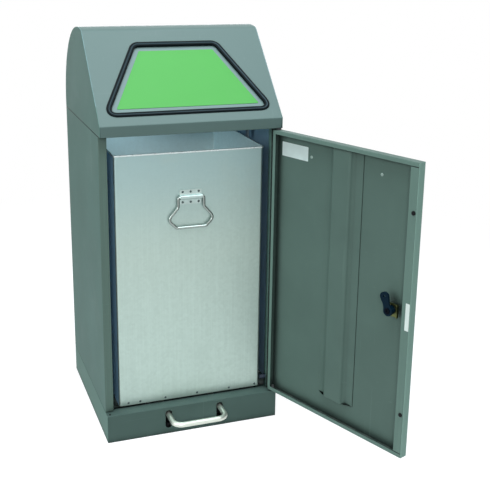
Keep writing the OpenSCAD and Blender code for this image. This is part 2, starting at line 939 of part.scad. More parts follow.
// Door: folded pan with return lips, bush holes in the hinge corner and a lock hole
module door_skin() {
    height = door_high - door_low;
    color("#66807a")
    door_place()
        difference() {
            translate([-side, front, door_low])
                cube([width, door_t, height]);
            translate([-in_x, front + sheet, door_low + sheet])
                cube([2 * in_x, door_t - 2 * sheet, height - 2 * sheet]);
            translate([-side + lip_free, lip_y - 2 * sheet, door_low + lip_other])
                cube([width - lip_free - lip_other, 3 * sheet, height - 2 * lip_other]);
            for (z = [door_low + lip_other, door_high - lip_other - 2])
                translate([-side + sheet, lip_y - 1.5 * sheet, z])
                    cube([lip_free, 3 * sheet, 2]);
            translate([hinge[0], hinge[1], door_low - 5])
                cylinder(d = bush_d, h = height + 10);
            translate([lock_x, front - 5, lock_z])
                rotate([-90, 0, 0])
                    cylinder(r = lock_r, h = 10);
            for (z = buffer_zs)
                translate([-jamb_mid, lip_y - 5, z])
                    rotate([-90, 0, 0])
                        cylinder(r = 2, h = 10);
        }
}

// Hat-section stiffener on the inside of the door
module door_stiffener() {
    foot = stiffener_face / 2 + 6;
    y0 = front + sheet;
    y1 = y0 + stiffener_h;
    color("#6c867f")
    door_place()
        translate([0, 0, stiffener_low])
            linear_extrude(door_high - stiffener_low - lip_other - 2)
                polygon([[-stiffener_w / 2, y0], [-foot + sheet, y0],
                    [-stiffener_face / 2 + sheet, y1 - sheet],
                    [stiffener_face / 2 - sheet, y1 - sheet], [foot - sheet, y0],
                    [stiffener_w / 2, y0], [stiffener_w / 2, y0 + sheet], [foot, y0 + sheet],
                    [stiffener_face / 2, y1], [-stiffener_face / 2, y1], [-foot, y0 + sheet],
                    [-stiffener_w / 2, y0 + sheet]]);
}

// Plastic flange bushes in the door, one at each hinge pin
module door_bushes() {
    flange_h = door_clear - seat;
    color("#e7e4da")
    door_place()
        translate([hinge[0], hinge[1], 0])
            difference() {
                union() {
                    translate([0, 0, door_low - flange_h])
                        cylinder(r = hinge_in - 0.6, h = flange_h);
                    translate([0, 0, door_low - tiny])
                        cylinder(d = bush_d, h = sheet + 2);
                    translate([0, 0, door_high])
                        cylinder(r = hinge_in - 0.6, h = flange_h);
                    translate([0, 0, door_high - sheet - 2])
                        cylinder(d = bush_d, h = sheet + 2 + tiny);
                }
                translate([0, 0, door_low - 10])
                    cylinder(r = pin_d / 2 + run, h = door_high - door_low + 20);
            }
}

// Black buffers on the free lip that meet the jamb
module door_buffers() {
    color("#15181a")
    door_place()
        for (z = buffer_zs)
            translate([-jamb_mid, lip_y, z])
                rotate([-90, 0, 0]) {
                    translate([0, 0, -sheet - 2])
                        cylinder(r = 2, h = sheet + 3);
                    cylinder(r = 4, h = door_gap - seat);
                }
}

// Domed rivets on the inside of the door
module door_rivets() {
    color("#66807a")
    door_place()
        for (sx = [-1, 1])
            translate([sx * (stiffener_w / 2 + 47), front + sheet, door_high - 45])
                rotate([-90, 0, 0])
                    rivet_head(3.5, 1.6);
}

// Lock barrel with its collar on the outside of the door
module lock_barrel() {
    color("#2a2d30")
    door_place()
        difference() {
            union() {
                lock_place(front - 2.5)
                    cylinder(r = lock_r + 2.5, h = 2.5);
                lock_place(front)
                    cylinder(r = lock_r, h = lever_y - 1 - front);
            }
            lock_place(front - 5)
                cylinder(r = core_r, h = 60);
        }
}

// Brass plate clipped behind the barrel, its top and outer edges folded
module lock_clip() {
    color("#b79a4e")
    door_place()
        difference() {
            translate([lock_x - clip[0] / 2 - 1, clip_y, lock_z - clip[2] / 2])
                cube(clip);
            translate([lock_x - clip[0] / 2 - 1 + clip_t, clip_y + clip_t, lock_z - clip[2] / 2 - 1])
                cube([clip[0], clip[1], clip[2] + 1 - clip_t]);
            lock_place(front)
                cylinder(r = lock_r, h = 40);
        }
}

// Turning core of the lock, with a plain key slot on its face
module lock_core() {
    color("#9aa0a2")
    door_place()
        difference() {
            union() {
                lock_place(front - 1.5)
                    cylinder(r = core_r - run, h = lever_y - front + 1.5);
                lock_place(lever_y - tiny)
                    translate([-square_w / 2, -square_w / 2, 0])
                        cube([square_w, square_w, lever_t]);
            }
            lock_place(front - 5)
                translate([-1, -4, 0])
                    cube([2, 8, 9]);
        }
}

// Black lever of the lock, leaning from upright when unlocked
module lock_lever() {
    color("#15181d")
    door_place()
        lock_place(lever_y)
            difference() {
                rotate(lever_lean)
                    linear_extrude(lever_t)
                        difference() {
                            union() {
                                circle(lever_hub_r);
                                translate([0, -lever_len])
                                    circle(lever_head_r);
                                polygon([[-lever_hub_r, 0], [-lever_head_r, -lever_len],
                                    [lever_head_r, -lever_len], [lever_hub_r, 0]]);
                            }
                            translate([0, -lever_len])
                                circle(2.2);
                        }
                translate([-square_w / 2, -square_w / 2, -1])
                    cube([square_w, square_w, lever_t + 2]);
            }
}

// Socket screw that holds the lever on the core
module lock_screw() {
    color("#202428")
    door_place()
        lock_place(lever_y + lever_t)
            difference() {
                cylinder(r = 6.5, h = 1.3);
                translate([0, 0, 0.4])
                    cylinder(r = 2.6, h = 2, $fn = 6);
            }
}

// Container: folded galvanised walls, open at the top
module container_body() {
    color("#b4c4c2")
    translate([0, 0, can_z])
        linear_extrude(can_h)
            difference() {
                round_rect(can_w, can_d, can_r, can_y);
                round_rect(can_w - 2 * can_t, can_d - 2 * can_t, can_r - can_t, can_y + can_t);
            }
}

// Base of the container: a pressed tray riveted between the walls
module container_base() {
    color("#a9b9b7")
    translate([0, 0, can_z + can_t])
        difference() {
            linear_extrude(base_h)
                round_rect(can_w - 2 * can_t, can_d - 2 * can_t, can_r - can_t, can_y + can_t);
            translate([0, 0, -can_t])
                linear_extrude(base_h)
                    round_rect(can_w - 4 * can_t, can_d - 4 * can_t, can_r - 2 * can_t,
                        can_y + 2 * can_t);
        }
}

// Folded rim round the top of the container
module container_rim() {
    color("#dce5e4")
    translate([0, 0, can_top - can_rim_h])
        linear_extrude(can_rim_h)
            difference() {
                round_rect(can_w + 2 * can_rim_t, can_d + 2 * can_rim_t, can_r + can_rim_t,
                    can_y - can_rim_t);
                round_rect(can_w, can_d, can_r, can_y);
            }
}

// Rivets that hold the base: six in front and back, four on each side
rivet_r = 2.6;
rivet_h = 1.1;
rivet_shares = [-0.437, -0.356, -0.18, 0.045, 0.277, 0.467];
module base_rivets() {
    color("#8d9a98")
    translate([0, 0, can_z + can_t + base_h / 2]) {
        for (s = rivet_shares) {
            translate([s * can_w, can_y, 0])
                rotate([90, 0, 0])
                    rivet_head(rivet_r, rivet_h);
            translate([s * can_w, can_y + can_d, 0])
                rotate([-90, 0, 0])
                    rivet_head(rivet_r, rivet_h);
        }
        for (sx = [-1, 1], k = [0:3])
            translate([sx * can_half, can_y + can_d * (0.14 + 0.24 * k), 0])
                rotate([0, sx * 90, 0])
                    rivet_head(rivet_r, rivet_h);
    }
}

// Bracket with the barrel that carries the handle
module handle_bracket() {
    color("#c2cfcd")
    difference() {
        union() {
            translate([-barrel_half, can_y - bracket_t, handle_z - 17])
                cube([2 * barrel_half, bracket_t, 33]);
            translate([-barrel_half, handle_y, handle_z - barrel_r])
                cube([2 * barrel_half, can_y - handle_y, 2 * barrel_r]);
            translate([0, handle_y, handle_z])
                rod_along_x(-barrel_half, barrel_half, barrel_r);
        }
        translate([0, handle_y, handle_z])
            rod_along_x(-side, side, bail_r + run);
    }
}

// Rivets of the bracket, three above and three below the barrel
module bracket_rivets() {
    color("#8d9a98")
    for (x = [-18, 0, 18], z = [handle_z + 11, handle_z - 12])
        translate([x, can_y - bracket_t, z])
            rotate([90, 0, 0])
                rivet_head(rivet_r, rivet_h);
}

// Carrying handle: round wire bent to a waisted stirrup. Its straight pivot lies in
// the barrel, and the rest is swept along corners with a bend radius each.
bail_neck = barrel_half + bail_r + 1;
bail_corners = [[-barrel_half, 0], [-bail_neck, 0], [-bail_neck, -0.33 * bail_len],
    [-bail_w / 2 - 2, -0.72 * bail_len], [-bail_w / 3, -bail_len], [bail_w / 3, -bail_len],
    [bail_w / 2 + 2, -0.72 * bail_len], [bail_neck, -0.33 * bail_len], [bail_neck, 0],
    [barrel_half, 0]];
bail_bends = [0, bail_r + 1, 10, 11, 10, 10, 11, 10, bail_r + 1, 0];
wire_sides = 12;
bend_steps = 6;
function heading(i) = let (v = bail_corners[i + 1] - bail_corners[i]) atan2(v[1], v[0]);
function turn_at(i) = let (t = heading(i) - heading(i - 1)) t > 180 ? t - 360 : (t < -180 ? t + 360 : t);
function bend_path(i) =
    let (t = turn_at(i), way = t > 0 ? 1 : -1, r = bail_bends[i], h0 = heading(i - 1),
        first = bail_corners[i] - r * tan(abs(t) / 2) * [cos(h0), sin(h0)],
        centre = first + way * r * [-sin(h0), cos(h0)])
    [for (k = [0:bend_steps]) let (h = h0 + t * k / bend_steps)
        [centre + way * r * [sin(h), -cos(h)], h]];
function wire_ring(p, h) = [for (k = [0:wire_sides - 1]) let (a = 360 * k / wire_sides)
    [p[0] - bail_r * cos(a) * sin(h), bail_r * sin(a), p[1] + bail_r * cos(a) * cos(h)]];
module bail_wire() {
    path = [for (i = [1:len(bail_corners) - 2]) each bend_path(i)];
    n = len(path) - 1;
    m = wire_sides;
    rings = [for (q = path) each wire_ring(q[0], q[1])];
    walls = [for (i = [0:n - 1], k = [0:m - 1]) let (c = i * m + k, d = i * m + (k + 1) % m)
        each [[c, d, c + m], [d, d + m, c + m]]];
    low = [for (k = [1:m - 2]) [0, k + 1, k]];
    high = [for (k = [1:m - 2]) [n * m, n * m + k, n * m + k + 1]];
    polyhedron(rings, concat(walls, low, high));
}
module bail_handle() {
    color("#c9d2d0")
    translate([0, handle_y, handle_z]) {
        rod_along_x(-barrel_half, barrel_half, bail_r);
        bail_wire();
    }
}

plinth_shell();
base_plate();
pedal_buffers();
bearing_left();
bearing_right();
bearing_bushes();
bearing_screws();
return_springs();
floor_panel();
floor_runners();
left_panel();
right_panel();
back_panel();
guide_buffers();
rod_guides();
hood_wrap();
hood_side_left();
hood_side_right();
opening_trim();
flap_bearings();
hinge_pins();
joint_screws();
pedal_bow();
pedal_shaft();
shaft_collars();
lift_arm();
push_rod();
rod_pins();
flap_panel();
flap_insert();
flap_arms();
flap_shaft();
flap_crank();
flap_collars();
door_skin();
door_stiffener();
door_bushes();
door_buffers();
door_rivets();
lock_barrel();
lock_clip();
lock_core();
lock_lever();
lock_screw();
container_body();
container_base();
container_rim();
base_rivets();
handle_bracket();
bracket_rivets();
bail_handle();
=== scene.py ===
"""Pedal recycling bin: finishes, bent edges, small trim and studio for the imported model."""

import json
import logging
import math
from dataclasses import dataclass, field
from enum import Enum
from functools import cache
from typing import Callable

import bmesh
import bpy
from mathutils import Matrix, Vector


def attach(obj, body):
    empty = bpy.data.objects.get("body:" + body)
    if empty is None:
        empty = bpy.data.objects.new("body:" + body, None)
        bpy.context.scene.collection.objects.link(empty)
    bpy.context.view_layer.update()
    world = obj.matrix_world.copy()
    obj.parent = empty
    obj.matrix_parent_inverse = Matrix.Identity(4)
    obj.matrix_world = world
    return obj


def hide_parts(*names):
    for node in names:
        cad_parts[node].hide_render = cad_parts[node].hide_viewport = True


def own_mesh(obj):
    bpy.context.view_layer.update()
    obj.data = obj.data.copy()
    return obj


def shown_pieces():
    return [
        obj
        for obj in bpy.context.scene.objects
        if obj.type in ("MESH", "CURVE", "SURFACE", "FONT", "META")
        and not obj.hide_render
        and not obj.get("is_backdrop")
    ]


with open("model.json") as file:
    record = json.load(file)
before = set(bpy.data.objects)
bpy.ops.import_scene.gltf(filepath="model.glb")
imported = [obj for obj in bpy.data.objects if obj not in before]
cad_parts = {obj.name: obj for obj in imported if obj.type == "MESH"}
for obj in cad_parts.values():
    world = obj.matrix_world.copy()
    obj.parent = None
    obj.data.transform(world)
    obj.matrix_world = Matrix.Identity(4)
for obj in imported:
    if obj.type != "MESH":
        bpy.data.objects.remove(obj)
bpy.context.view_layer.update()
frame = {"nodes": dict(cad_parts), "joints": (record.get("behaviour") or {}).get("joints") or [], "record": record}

log = logging.getLogger("recycling_bin")

# Lengths are in metres, and sizes that are known in millimetres are written as such.
MM = 0.001
IMAGE_PIXELS = 490
SENSOR_WIDTH = 36.0
# The mesh attribute that carries a finish's second tone: painted light and shade on chosen faces, and a painted
# highlight line.
SHADING_TONE_ATTRIBUTE = "shading_tone"
# Points closer than this are one point.
NEAR = 0.02 * MM
# A face looks along an axis when its normal has at least this much of it.
FACING = 0.9
# A slanted direction, along which two points of a piece are hardly ever level.
SLANT = Vector((1.0, 2.3, 5.9))

Box = tuple[Vector, Vector]
Colour = tuple[float, float, float, float]
Socket = bpy.types.NodeSocket
Sockets = bpy.types.bpy_prop_collection
WHITE: Colour = (1.0, 1.0, 1.0, 1.0)
BLACK: Colour = (0.0, 0.0, 0.0, 1.0)


def tone(red: int, green: int, blue: int) -> Colour:
    """Turns a colour as it shows on a screen, 0 to 255, into the linear colour of a shader.

    Args:
        red: Red, 0 to 255.
        green: Green, 0 to 255.
        blue: Blue, 0 to 255.

    Returns:
        The linear colour with an alpha of 1.
    """
    def linear(value: int) -> float:
        """One channel of the colour."""
        share = value / 255
        return share / 12.92 if share <= 0.04045 else ((share + 0.055) / 1.055) ** 2.4

    return (linear(red), linear(green), linear(blue), 1.0)


def scaled(colour: Colour, factor: float, lift: float = 0.0) -> Colour:
    """Makes a colour deeper or paler, at most white."""
    return tuple(min(1.0, factor * channel + lift) for channel in colour[:3]) + (1.0,)


def span(low: tuple[float, float, float], high: tuple[float, float, float]) -> Box:
    """Makes a box of its lowest and its highest corner."""
    return Vector(low), Vector(high)


# Stretch and turn of the two sets of scratches.
SCRATCHES = (((0.06, 1.0, 6.0), (0.2, 0.5, 0.4)), ((5.0, 0.8, 0.05), (0.1, -0.35, 0.7)))

# Near-black of the painted shade in creases, narrow gaps and cavities.
RECESS_SHADE = tone(12, 17, 17)
ZINC_STREAK = tone(84, 108, 124)
PAINT_DUST = tone(168, 172, 164)
POLYMER_DUST = tone(160, 166, 160)
CABINET_INSIDE = (span((-0.19905, -0.1655, 0.0), (0.19905, 0.1982, 2.0)),)
# Thin bands along the seams of plinth, walls and hood, which take the painted shade of a gap.
SEAM_SHADE_BOXES = (span((-0.201, -0.201, 0.064), (0.201, 0.201, 0.0661)),
                span((-0.201, -0.201, 0.6889), (0.201, 0.201, 0.6911)))
CONTAINER_INSIDE = (span((-0.1618, -0.1717, 0.071), (0.1618, 0.1677, 0.6462)),
                    span((-0.1665, -0.1668, 0.071), (0.1665, 0.1677, 0.6462)))
# Side walls of the container, where the narrow gaps take a painted bluish reflection.
CONTAINER_GAP_BOXES = (span((-0.1672, -0.1665, 0.06), (-0.1668, 0.17, 0.66)),
                    span((0.1668, -0.1665, 0.06), (0.1672, 0.17, 0.66)))


class Graph:
    """Adds nodes to one tree and links them as they are added."""

    def __init__(self, tree: bpy.types.NodeTree) -> None:
        """Starts on a tree."""
        self.tree = tree

    def node(self, kind: str, sockets: dict | None = None, **settings: object) -> bpy.types.Node:
        """Adds one node.

        Args:
            kind: The node's type.
            sockets: Its inputs by name or number, each a value or an output to link.
            settings: The node's own properties.

        Returns:
            The new node.
        """
        made = self.tree.nodes.new(kind)
        for key, value in settings.items():
            setattr(made, key, value)
        for key, value in (sockets or {}).items():
            if isinstance(value, Socket):
                self.tree.links.new(value, made.inputs[key])
            else:
                made.inputs[key].default_value = value
        return made

    def math(self, operation: str, *values: object, clamp: bool = False) -> Socket:
        """Adds a Math node on up to three values and returns its output."""
        made = self.node("ShaderNodeMath", dict(enumerate(values)), operation=operation, use_clamp=clamp)
        return made.outputs[0]

    def times(self, first: object, second: object) -> Socket:
        """Multiplies two values."""
        return self.math("MULTIPLY", first, second)

    def spread(self, value: Socket, low: float | Socket, high: float,
               to_low: float = 0.0, to_high: float = 1.0) -> Socket:
        """Maps a value from one range to another, smoothly and clamped.

        Args:
            value: The value.
            low: Where its range starts.
            high: Where its range ends.
            to_low: The result at the start.
            to_high: The result at the end.

        Returns:
            The mapped value.
        """
        made = self.node("ShaderNodeMapRange", {"Value": value, "From Min": low, "From Max": high,
                                                "To Min": to_low, "To Max": to_high},
                         interpolation_type="SMOOTHSTEP")
        return made.outputs["Result"]

    def mix(self, share: object, first: object, second: object) -> Socket:
        """Mixes two colours by a share and returns the colour."""
        return self.node("ShaderNodeMix", {0: share, 6: first, 7: second}, data_type="RGBA").outputs[2]

    def tinted(self, colour: object, tint: Colour, mask: Socket, share: float) -> Socket:
        """Lays a tint over a colour, by a share of a mask."""
        return self.mix(self.times(mask, share), colour, tint)

    def noise(self, vector: Socket, scale: float, detail: float = 2.0,
              roughness: float = 0.5) -> Socket:
        """Adds a noise texture and returns its value."""
        return self.node("ShaderNodeTexNoise", {"Vector": vector, "Scale": scale, "Detail": detail,
                                                "Roughness": roughness}).outputs[0]

    def parts(self, vector: Socket) -> Sockets:
        """Gives the X, Y and Z of a vector."""
        return self.node("ShaderNodeSeparateXYZ", {0: vector}).outputs

    def bump(self, height: Socket, strength: float, distance: float) -> Socket:
        """Turns a height into a normal."""
        made = self.node("ShaderNodeBump", {"Strength": strength, "Distance": distance, "Height": height})
        return made.outputs[0]

    def with_shading_tone(self, colour: Socket, shading_tone: Colour | None) -> Socket:
        """Gives the marked parts of a mesh their second tone, which is painted light or shade.

        Args:
            colour: The first tone.
            shading_tone: The second tone, where the finish has one.

        Returns:
            The colour.
        """
        if not shading_tone:
            return colour
        mark = self.node("ShaderNodeAttribute", attribute_name=SHADING_TONE_ATTRIBUTE).outputs["Fac"]
        return self.mix(mark, colour, shading_tone)

    def seen(self) -> Socket:
        """Tells what is looked at, straight or in a mirror or glass, from what only gives light.

        Returns:
            1 for rays of the camera, of mirrors and of glass, and 0 for scattered ones.
        """
        rays = self.node("ShaderNodeLightPath").outputs
        return self.math("MAXIMUM", rays["Is Camera Ray"],
                         self.math("MAXIMUM", rays["Is Glossy Ray"], rays["Is Transmission Ray"]))

    def within(self, vector: Socket, low: Vector, high: Vector) -> Socket:
        """Is 1 inside a box and 0 outside.

        Args:
            vector: The coordinates to test.
            low: The lowest corner of the box.
            high: The highest corner of the box.

        Returns:
            The mask.
        """
        parts = self.parts(vector)
        mask = 1.0
        for axis in range(3):
            above = self.math("GREATER_THAN", parts[axis], low[axis])
            below = self.math("LESS_THAN", parts[axis], high[axis])
            mask = self.times(mask, self.times(above, below))
        return mask

    def within_any(self, vector: Socket, boxes: tuple[Box, ...]) -> Socket:
        """Is 1 inside any of the boxes and 0 outside.

        Args:
            vector: The coordinates to test.
            boxes: The boxes, at least one.

        Returns:
            The mask.
        """
        mask = self.within(vector, *boxes[0])
        for box in boxes[1:]:
            mask = self.math("MAXIMUM", mask, self.within(vector, *box))
        return mask

    def stretched(self, vector: Socket, scale: tuple[float, float, float],
                  turn: tuple[float, float, float] = (0.0, 0.0, 0.0)) -> Socket:
        """Scales and turns coordinates."""
        made = self.node("ShaderNodeMapping", {"Vector": vector, "Scale": scale, "Rotation": turn})
        return made.outputs[0]


class Effect(Enum):
    """The shared effects, each one node group: its inputs with their values, and its outputs."""

    PEEL = ("powder_coat_skin", {}, ("Height", "Mottle"))
    MARKS = ("handling_marks", {"Amount": 0.5}, ("Smudge", "Scratch"))
    DUST = ("settled_dust", {"Amount": 0.3}, ("Mask", "Upward"))
    EDGE = ("worn_and_highlit_edge", {"Radius": 1.2 * MM}, ("Mask",))
    RECESS = ("shaded_recess", {"Reach": 0.02, "Deep": 0.35}, ("Mask",))
    ROLLED = ("rolled_zinc", {}, ("Spangle", "Streak", "Height"))

    def tree(self) -> bpy.types.NodeTree:
        """Builds the group the first time it is asked for.

        Returns:
            The group's tree.
        """
        name, inputs, outputs = self.value
        found = bpy.data.node_groups.get(name)
        if found:
            return found
        made = bpy.data.node_groups.new(name, "ShaderNodeTree")
        made.interface.new_socket(name="Vector", in_out="INPUT", socket_type="NodeSocketVector")
        for key, value in inputs.items():
            entered = made.interface.new_socket(name=key, in_out="INPUT", socket_type="NodeSocketFloat")
            entered.default_value = value
        for key in outputs:
            made.interface.new_socket(name=key, in_out="OUTPUT", socket_type="NodeSocketFloat")
        graph = Graph(made)
        entry = graph.node("NodeGroupInput")
        results = EFFECT_RECIPES[self](graph, entry.outputs)
        graph.node("NodeGroupOutput", dict(zip(outputs, results)))
        return made

    def place(self, graph: Graph, vector: Socket, **values: float) -> Sockets:
        """Puts the group into a material.

        Args:
            graph: The material's graph.
            vector: The coordinates that it reads.
            values: Its inputs.

        Returns:
            The group's outputs.
        """
        made = graph.node("ShaderNodeGroup", {}, node_tree=self.tree())
        graph.tree.links.new(vector, made.inputs["Vector"])
        for key, value in values.items():
            made.inputs[key].default_value = value
        return made.outputs


def draw_peel(graph: Graph, given: Sockets) -> tuple:
    """Fine stipple of powder coat over a slow waviness of the sheet.

    Args:
        graph: The group's graph.
        given: The group's inputs.

    Returns:
        The height and the mottle.
    """
    stipple = graph.noise(given["Vector"], 950.0, 2.0)
    wave = graph.noise(given["Vector"], 14.0, 1.0)
    return graph.math("MULTIPLY_ADD", wave, 2.5, stipple), graph.noise(given["Vector"], 5.5, 3.0, 0.6)


def draw_marks(graph: Graph, given: Sockets) -> tuple:
    """Wiped smudges and a few thin scratches.

    Args:
        graph: The group's graph.
        given: The group's inputs.

    Returns:
        The smudges and the scratches.
    """
    cloud = graph.noise(given["Vector"], 9.0, 4.0, 0.62)
    smudge = graph.times(graph.spread(cloud, 0.5, 0.72), given["Amount"])
    lines = [graph.noise(graph.stretched(given["Vector"], scale, turn), 60.0, 1.0)
             for scale, turn in SCRATCHES]
    cut = graph.math("MAXIMUM", graph.spread(lines[0], 0.735, 0.76), graph.spread(lines[1], 0.74, 0.765))
    return smudge, graph.times(cut, given["Amount"])


def draw_dust(graph: Graph, given: Sockets) -> tuple:
    """Dust that lies on what faces up, in patches.

    Args:
        graph: The group's graph.
        given: The group's inputs.

    Returns:
        The dust, and how far a face looks up.
    """
    up = graph.parts(graph.node("ShaderNodeNewGeometry").outputs["Normal"])["Z"]
    patch = graph.spread(graph.noise(given["Vector"], 38.0, 5.0, 0.65), 0.42, 0.68)
    speck = graph.spread(graph.noise(given["Vector"], 420.0, 2.0), 0.6, 0.72)
    lying = graph.times(graph.spread(up, 0.45, 0.98), graph.math("MAXIMUM", patch, speck))
    return graph.times(lying, given["Amount"]), graph.spread(up, 0.2, 0.68)


def draw_edge(graph: Graph, given: Sockets) -> tuple:
    """Bright where the surface turns within the radius, broken up along its length: a painted highlight along the
    folds, and their wear.

    Args:
        graph: The group's graph.
        given: The group's inputs.

    Returns:
        The mask of the edges.
    """
    rounded = graph.node("ShaderNodeBevel", {"Radius": given["Radius"]}, samples=4).outputs[0]
    flat = graph.node("ShaderNodeNewGeometry").outputs["Normal"]
    turned = graph.node("ShaderNodeVectorMath", {0: rounded, 1: flat}, operation="DOT_PRODUCT")
    edge = graph.spread(turned.outputs["Value"], 0.985, 0.86)
    broken = graph.spread(graph.noise(given["Vector"], 130.0, 4.0, 0.7), 0.3, 0.62, 0.35, 1.0)
    return (graph.times(edge, broken),)


def draw_recess(graph: Graph, given: Sockets) -> tuple:
    """Full in creases and narrow gaps, where no light falls: the mask of painted shade."""
    light = graph.node("ShaderNodeAmbientOcclusion", {"Distance": given["Reach"]}, samples=6)
    return (graph.spread(light.outputs["AO"], given["Deep"], 0.88, 1.0, 0.0),)


def draw_rolled(graph: Graph, given: Sockets) -> tuple:
    """Zinc spangle, rolling streaks and a slow dent of thin sheet.

    Args:
        graph: The group's graph.
        given: The group's inputs.

    Returns:
        The spangle, the streaks and the height of the dents.
    """
    vector = given["Vector"]
    warped = graph.node("ShaderNodeVectorMath", {
        0: graph.node("ShaderNodeTexNoise", {"Vector": vector, "Scale": 60.0}).outputs[1],
        1: (0.006, 0.006, 0.006), 2: vector}, operation="MULTIPLY_ADD").outputs[0]
    cells = graph.node("ShaderNodeTexVoronoi", {"Vector": warped, "Scale": 170.0})
    spangle = graph.node("ShaderNodeSeparateColor", {0: cells.outputs["Color"]}).outputs[0]
    streak = graph.noise(graph.stretched(vector, (1.0, 1.0, 0.018)), 260.0, 3.0, 0.6)
    dent = graph.noise(graph.stretched(vector, (1.0, 1.0, 0.7)), 6.0, 1.0)
    return spangle, streak, graph.math("MULTIPLY_ADD", dent, 6.0, graph.times(streak, 0.12))


EFFECT_RECIPES: dict[Effect, Callable] = {
    Effect.PEEL: draw_peel,
    Effect.MARKS: draw_marks,
    Effect.DUST: draw_dust,
    Effect.EDGE: draw_edge,
    Effect.RECESS: draw_recess,
    Effect.ROLLED: draw_rolled,
}


def blank_material(name: str, colour: Colour) -> tuple[bpy.types.Material, Graph, Socket]:
    """Starts a material with nothing in its tree.

    Args:
        name: The material's name.
        colour: Its colour in the viewport.

    Returns:
        The material, its graph and its Object coordinates.
    """
    made = bpy.data.materials.new(name)
    made.use_nodes = True
    made.node_tree.nodes.clear()
    made.diffuse_color = colour
    graph = Graph(made.node_tree)
    return made, graph, graph.node("ShaderNodeTexCoord").outputs["Object"]


def close_material(graph: Graph, sockets: dict) -> None:
    """Adds the shader with its inputs and the output of the material."""
    shader = graph.node("ShaderNodeBsdfPrincipled", sockets)
    graph.node("ShaderNodeOutputMaterial", {0: shader.outputs[0]})


@dataclass(frozen=True)
class Enamel:
    """Matt powder coat on sheet steel."""

    name: str
    colour: Colour
    roughness: float = 0.52
    dust: float = 0.22
    edge_wear_and_highlight: float = 0.5
    sheen: float = 0.18
    shade: float = 0.7
    reach: float = 20.0 * MM
    seam: float = 3.0 * MM
    painted_top_light: float = 0.0
    shading_tone: Colour | None = None
    inside: Colour | None = None
    boxes: tuple[Box, ...] = ()
    joints: tuple[Box, ...] = ()

    def material(self) -> bpy.types.Material:
        """Builds the paint, with the bare zinc of the inner faces where there are any.

        Returns:
            The material.
        """
        made, graph, vector = blank_material(self.name, self.colour)
        skin = Effect.PEEL.place(graph, vector)
        marks = Effect.MARKS.place(graph, vector, Amount=0.5)
        settled = Effect.DUST.place(graph, vector, Amount=self.dust)
        dust = settled["Mask"]
        pale = scaled(self.colour, 1.6, 0.03)
        # Painted shade: two reaches of occlusion mark creases, gaps and cavities, which darken towards near-black.
        recess = graph.math("MAXIMUM", Effect.RECESS.place(graph, vector, Reach=self.reach)["Mask"],
                            Effect.RECESS.place(graph, vector, Reach=self.seam, Deep=0.6)["Mask"])
        # The seams take the same painted shade, as a dark line.
        if self.joints:
            recess = graph.math("MAXIMUM", recess, graph.within_any(vector, self.joints))
        unshaded = graph.math("SUBTRACT", 1.0, graph.times(recess, 2.0), clamp=True)
        edge = graph.times(Effect.EDGE.place(graph, vector)["Mask"], unshaded)
        colour = graph.mix(graph.spread(skin["Mottle"], 0.3, 0.7), scaled(self.colour, 0.9), self.colour)
        # Painted light: faces that look up are painted paler, as though lit from above.
        if self.painted_top_light:
            colour = graph.mix(settled["Upward"], colour, scaled(self.colour, 1.0 + self.painted_top_light))
        colour = graph.with_shading_tone(colour, self.shading_tone)
        # Lays the painted shade of the recesses over the paint.
        colour = graph.tinted(colour, RECESS_SHADE, recess, self.shade)
        # Paler folds: a painted highlight along the bends, and wear.
        colour = graph.tinted(colour, pale, edge, self.edge_wear_and_highlight)
        colour = graph.tinted(colour, pale, marks["Scratch"], 0.25)
        colour = graph.mix(dust, colour, PAINT_DUST)
        rough = graph.math("ADD", graph.math("MULTIPLY_ADD", marks["Smudge"], -0.09, self.roughness),
                           graph.times(dust, 0.4))
        sockets = {"Metallic": 0.0}
        if self.inside:
            mask = graph.within_any(vector, self.boxes)
            zinc = Effect.ROLLED.place(graph, vector)
            bare = graph.tinted(self.inside, ZINC_STREAK, zinc["Streak"], 0.3)
            colour = graph.mix(mask, colour, bare)
            rough = graph.math("MULTIPLY_ADD", mask, -0.1, rough)
            sockets["Metallic"] = graph.times(mask, 0.35)
        sockets |= {"Base Color": colour, "Roughness": rough, "Specular IOR Level": self.sheen,
                    "Normal": graph.bump(skin["Height"], 0.16, 0.12 * MM)}
        close_material(graph, sockets)
        return made


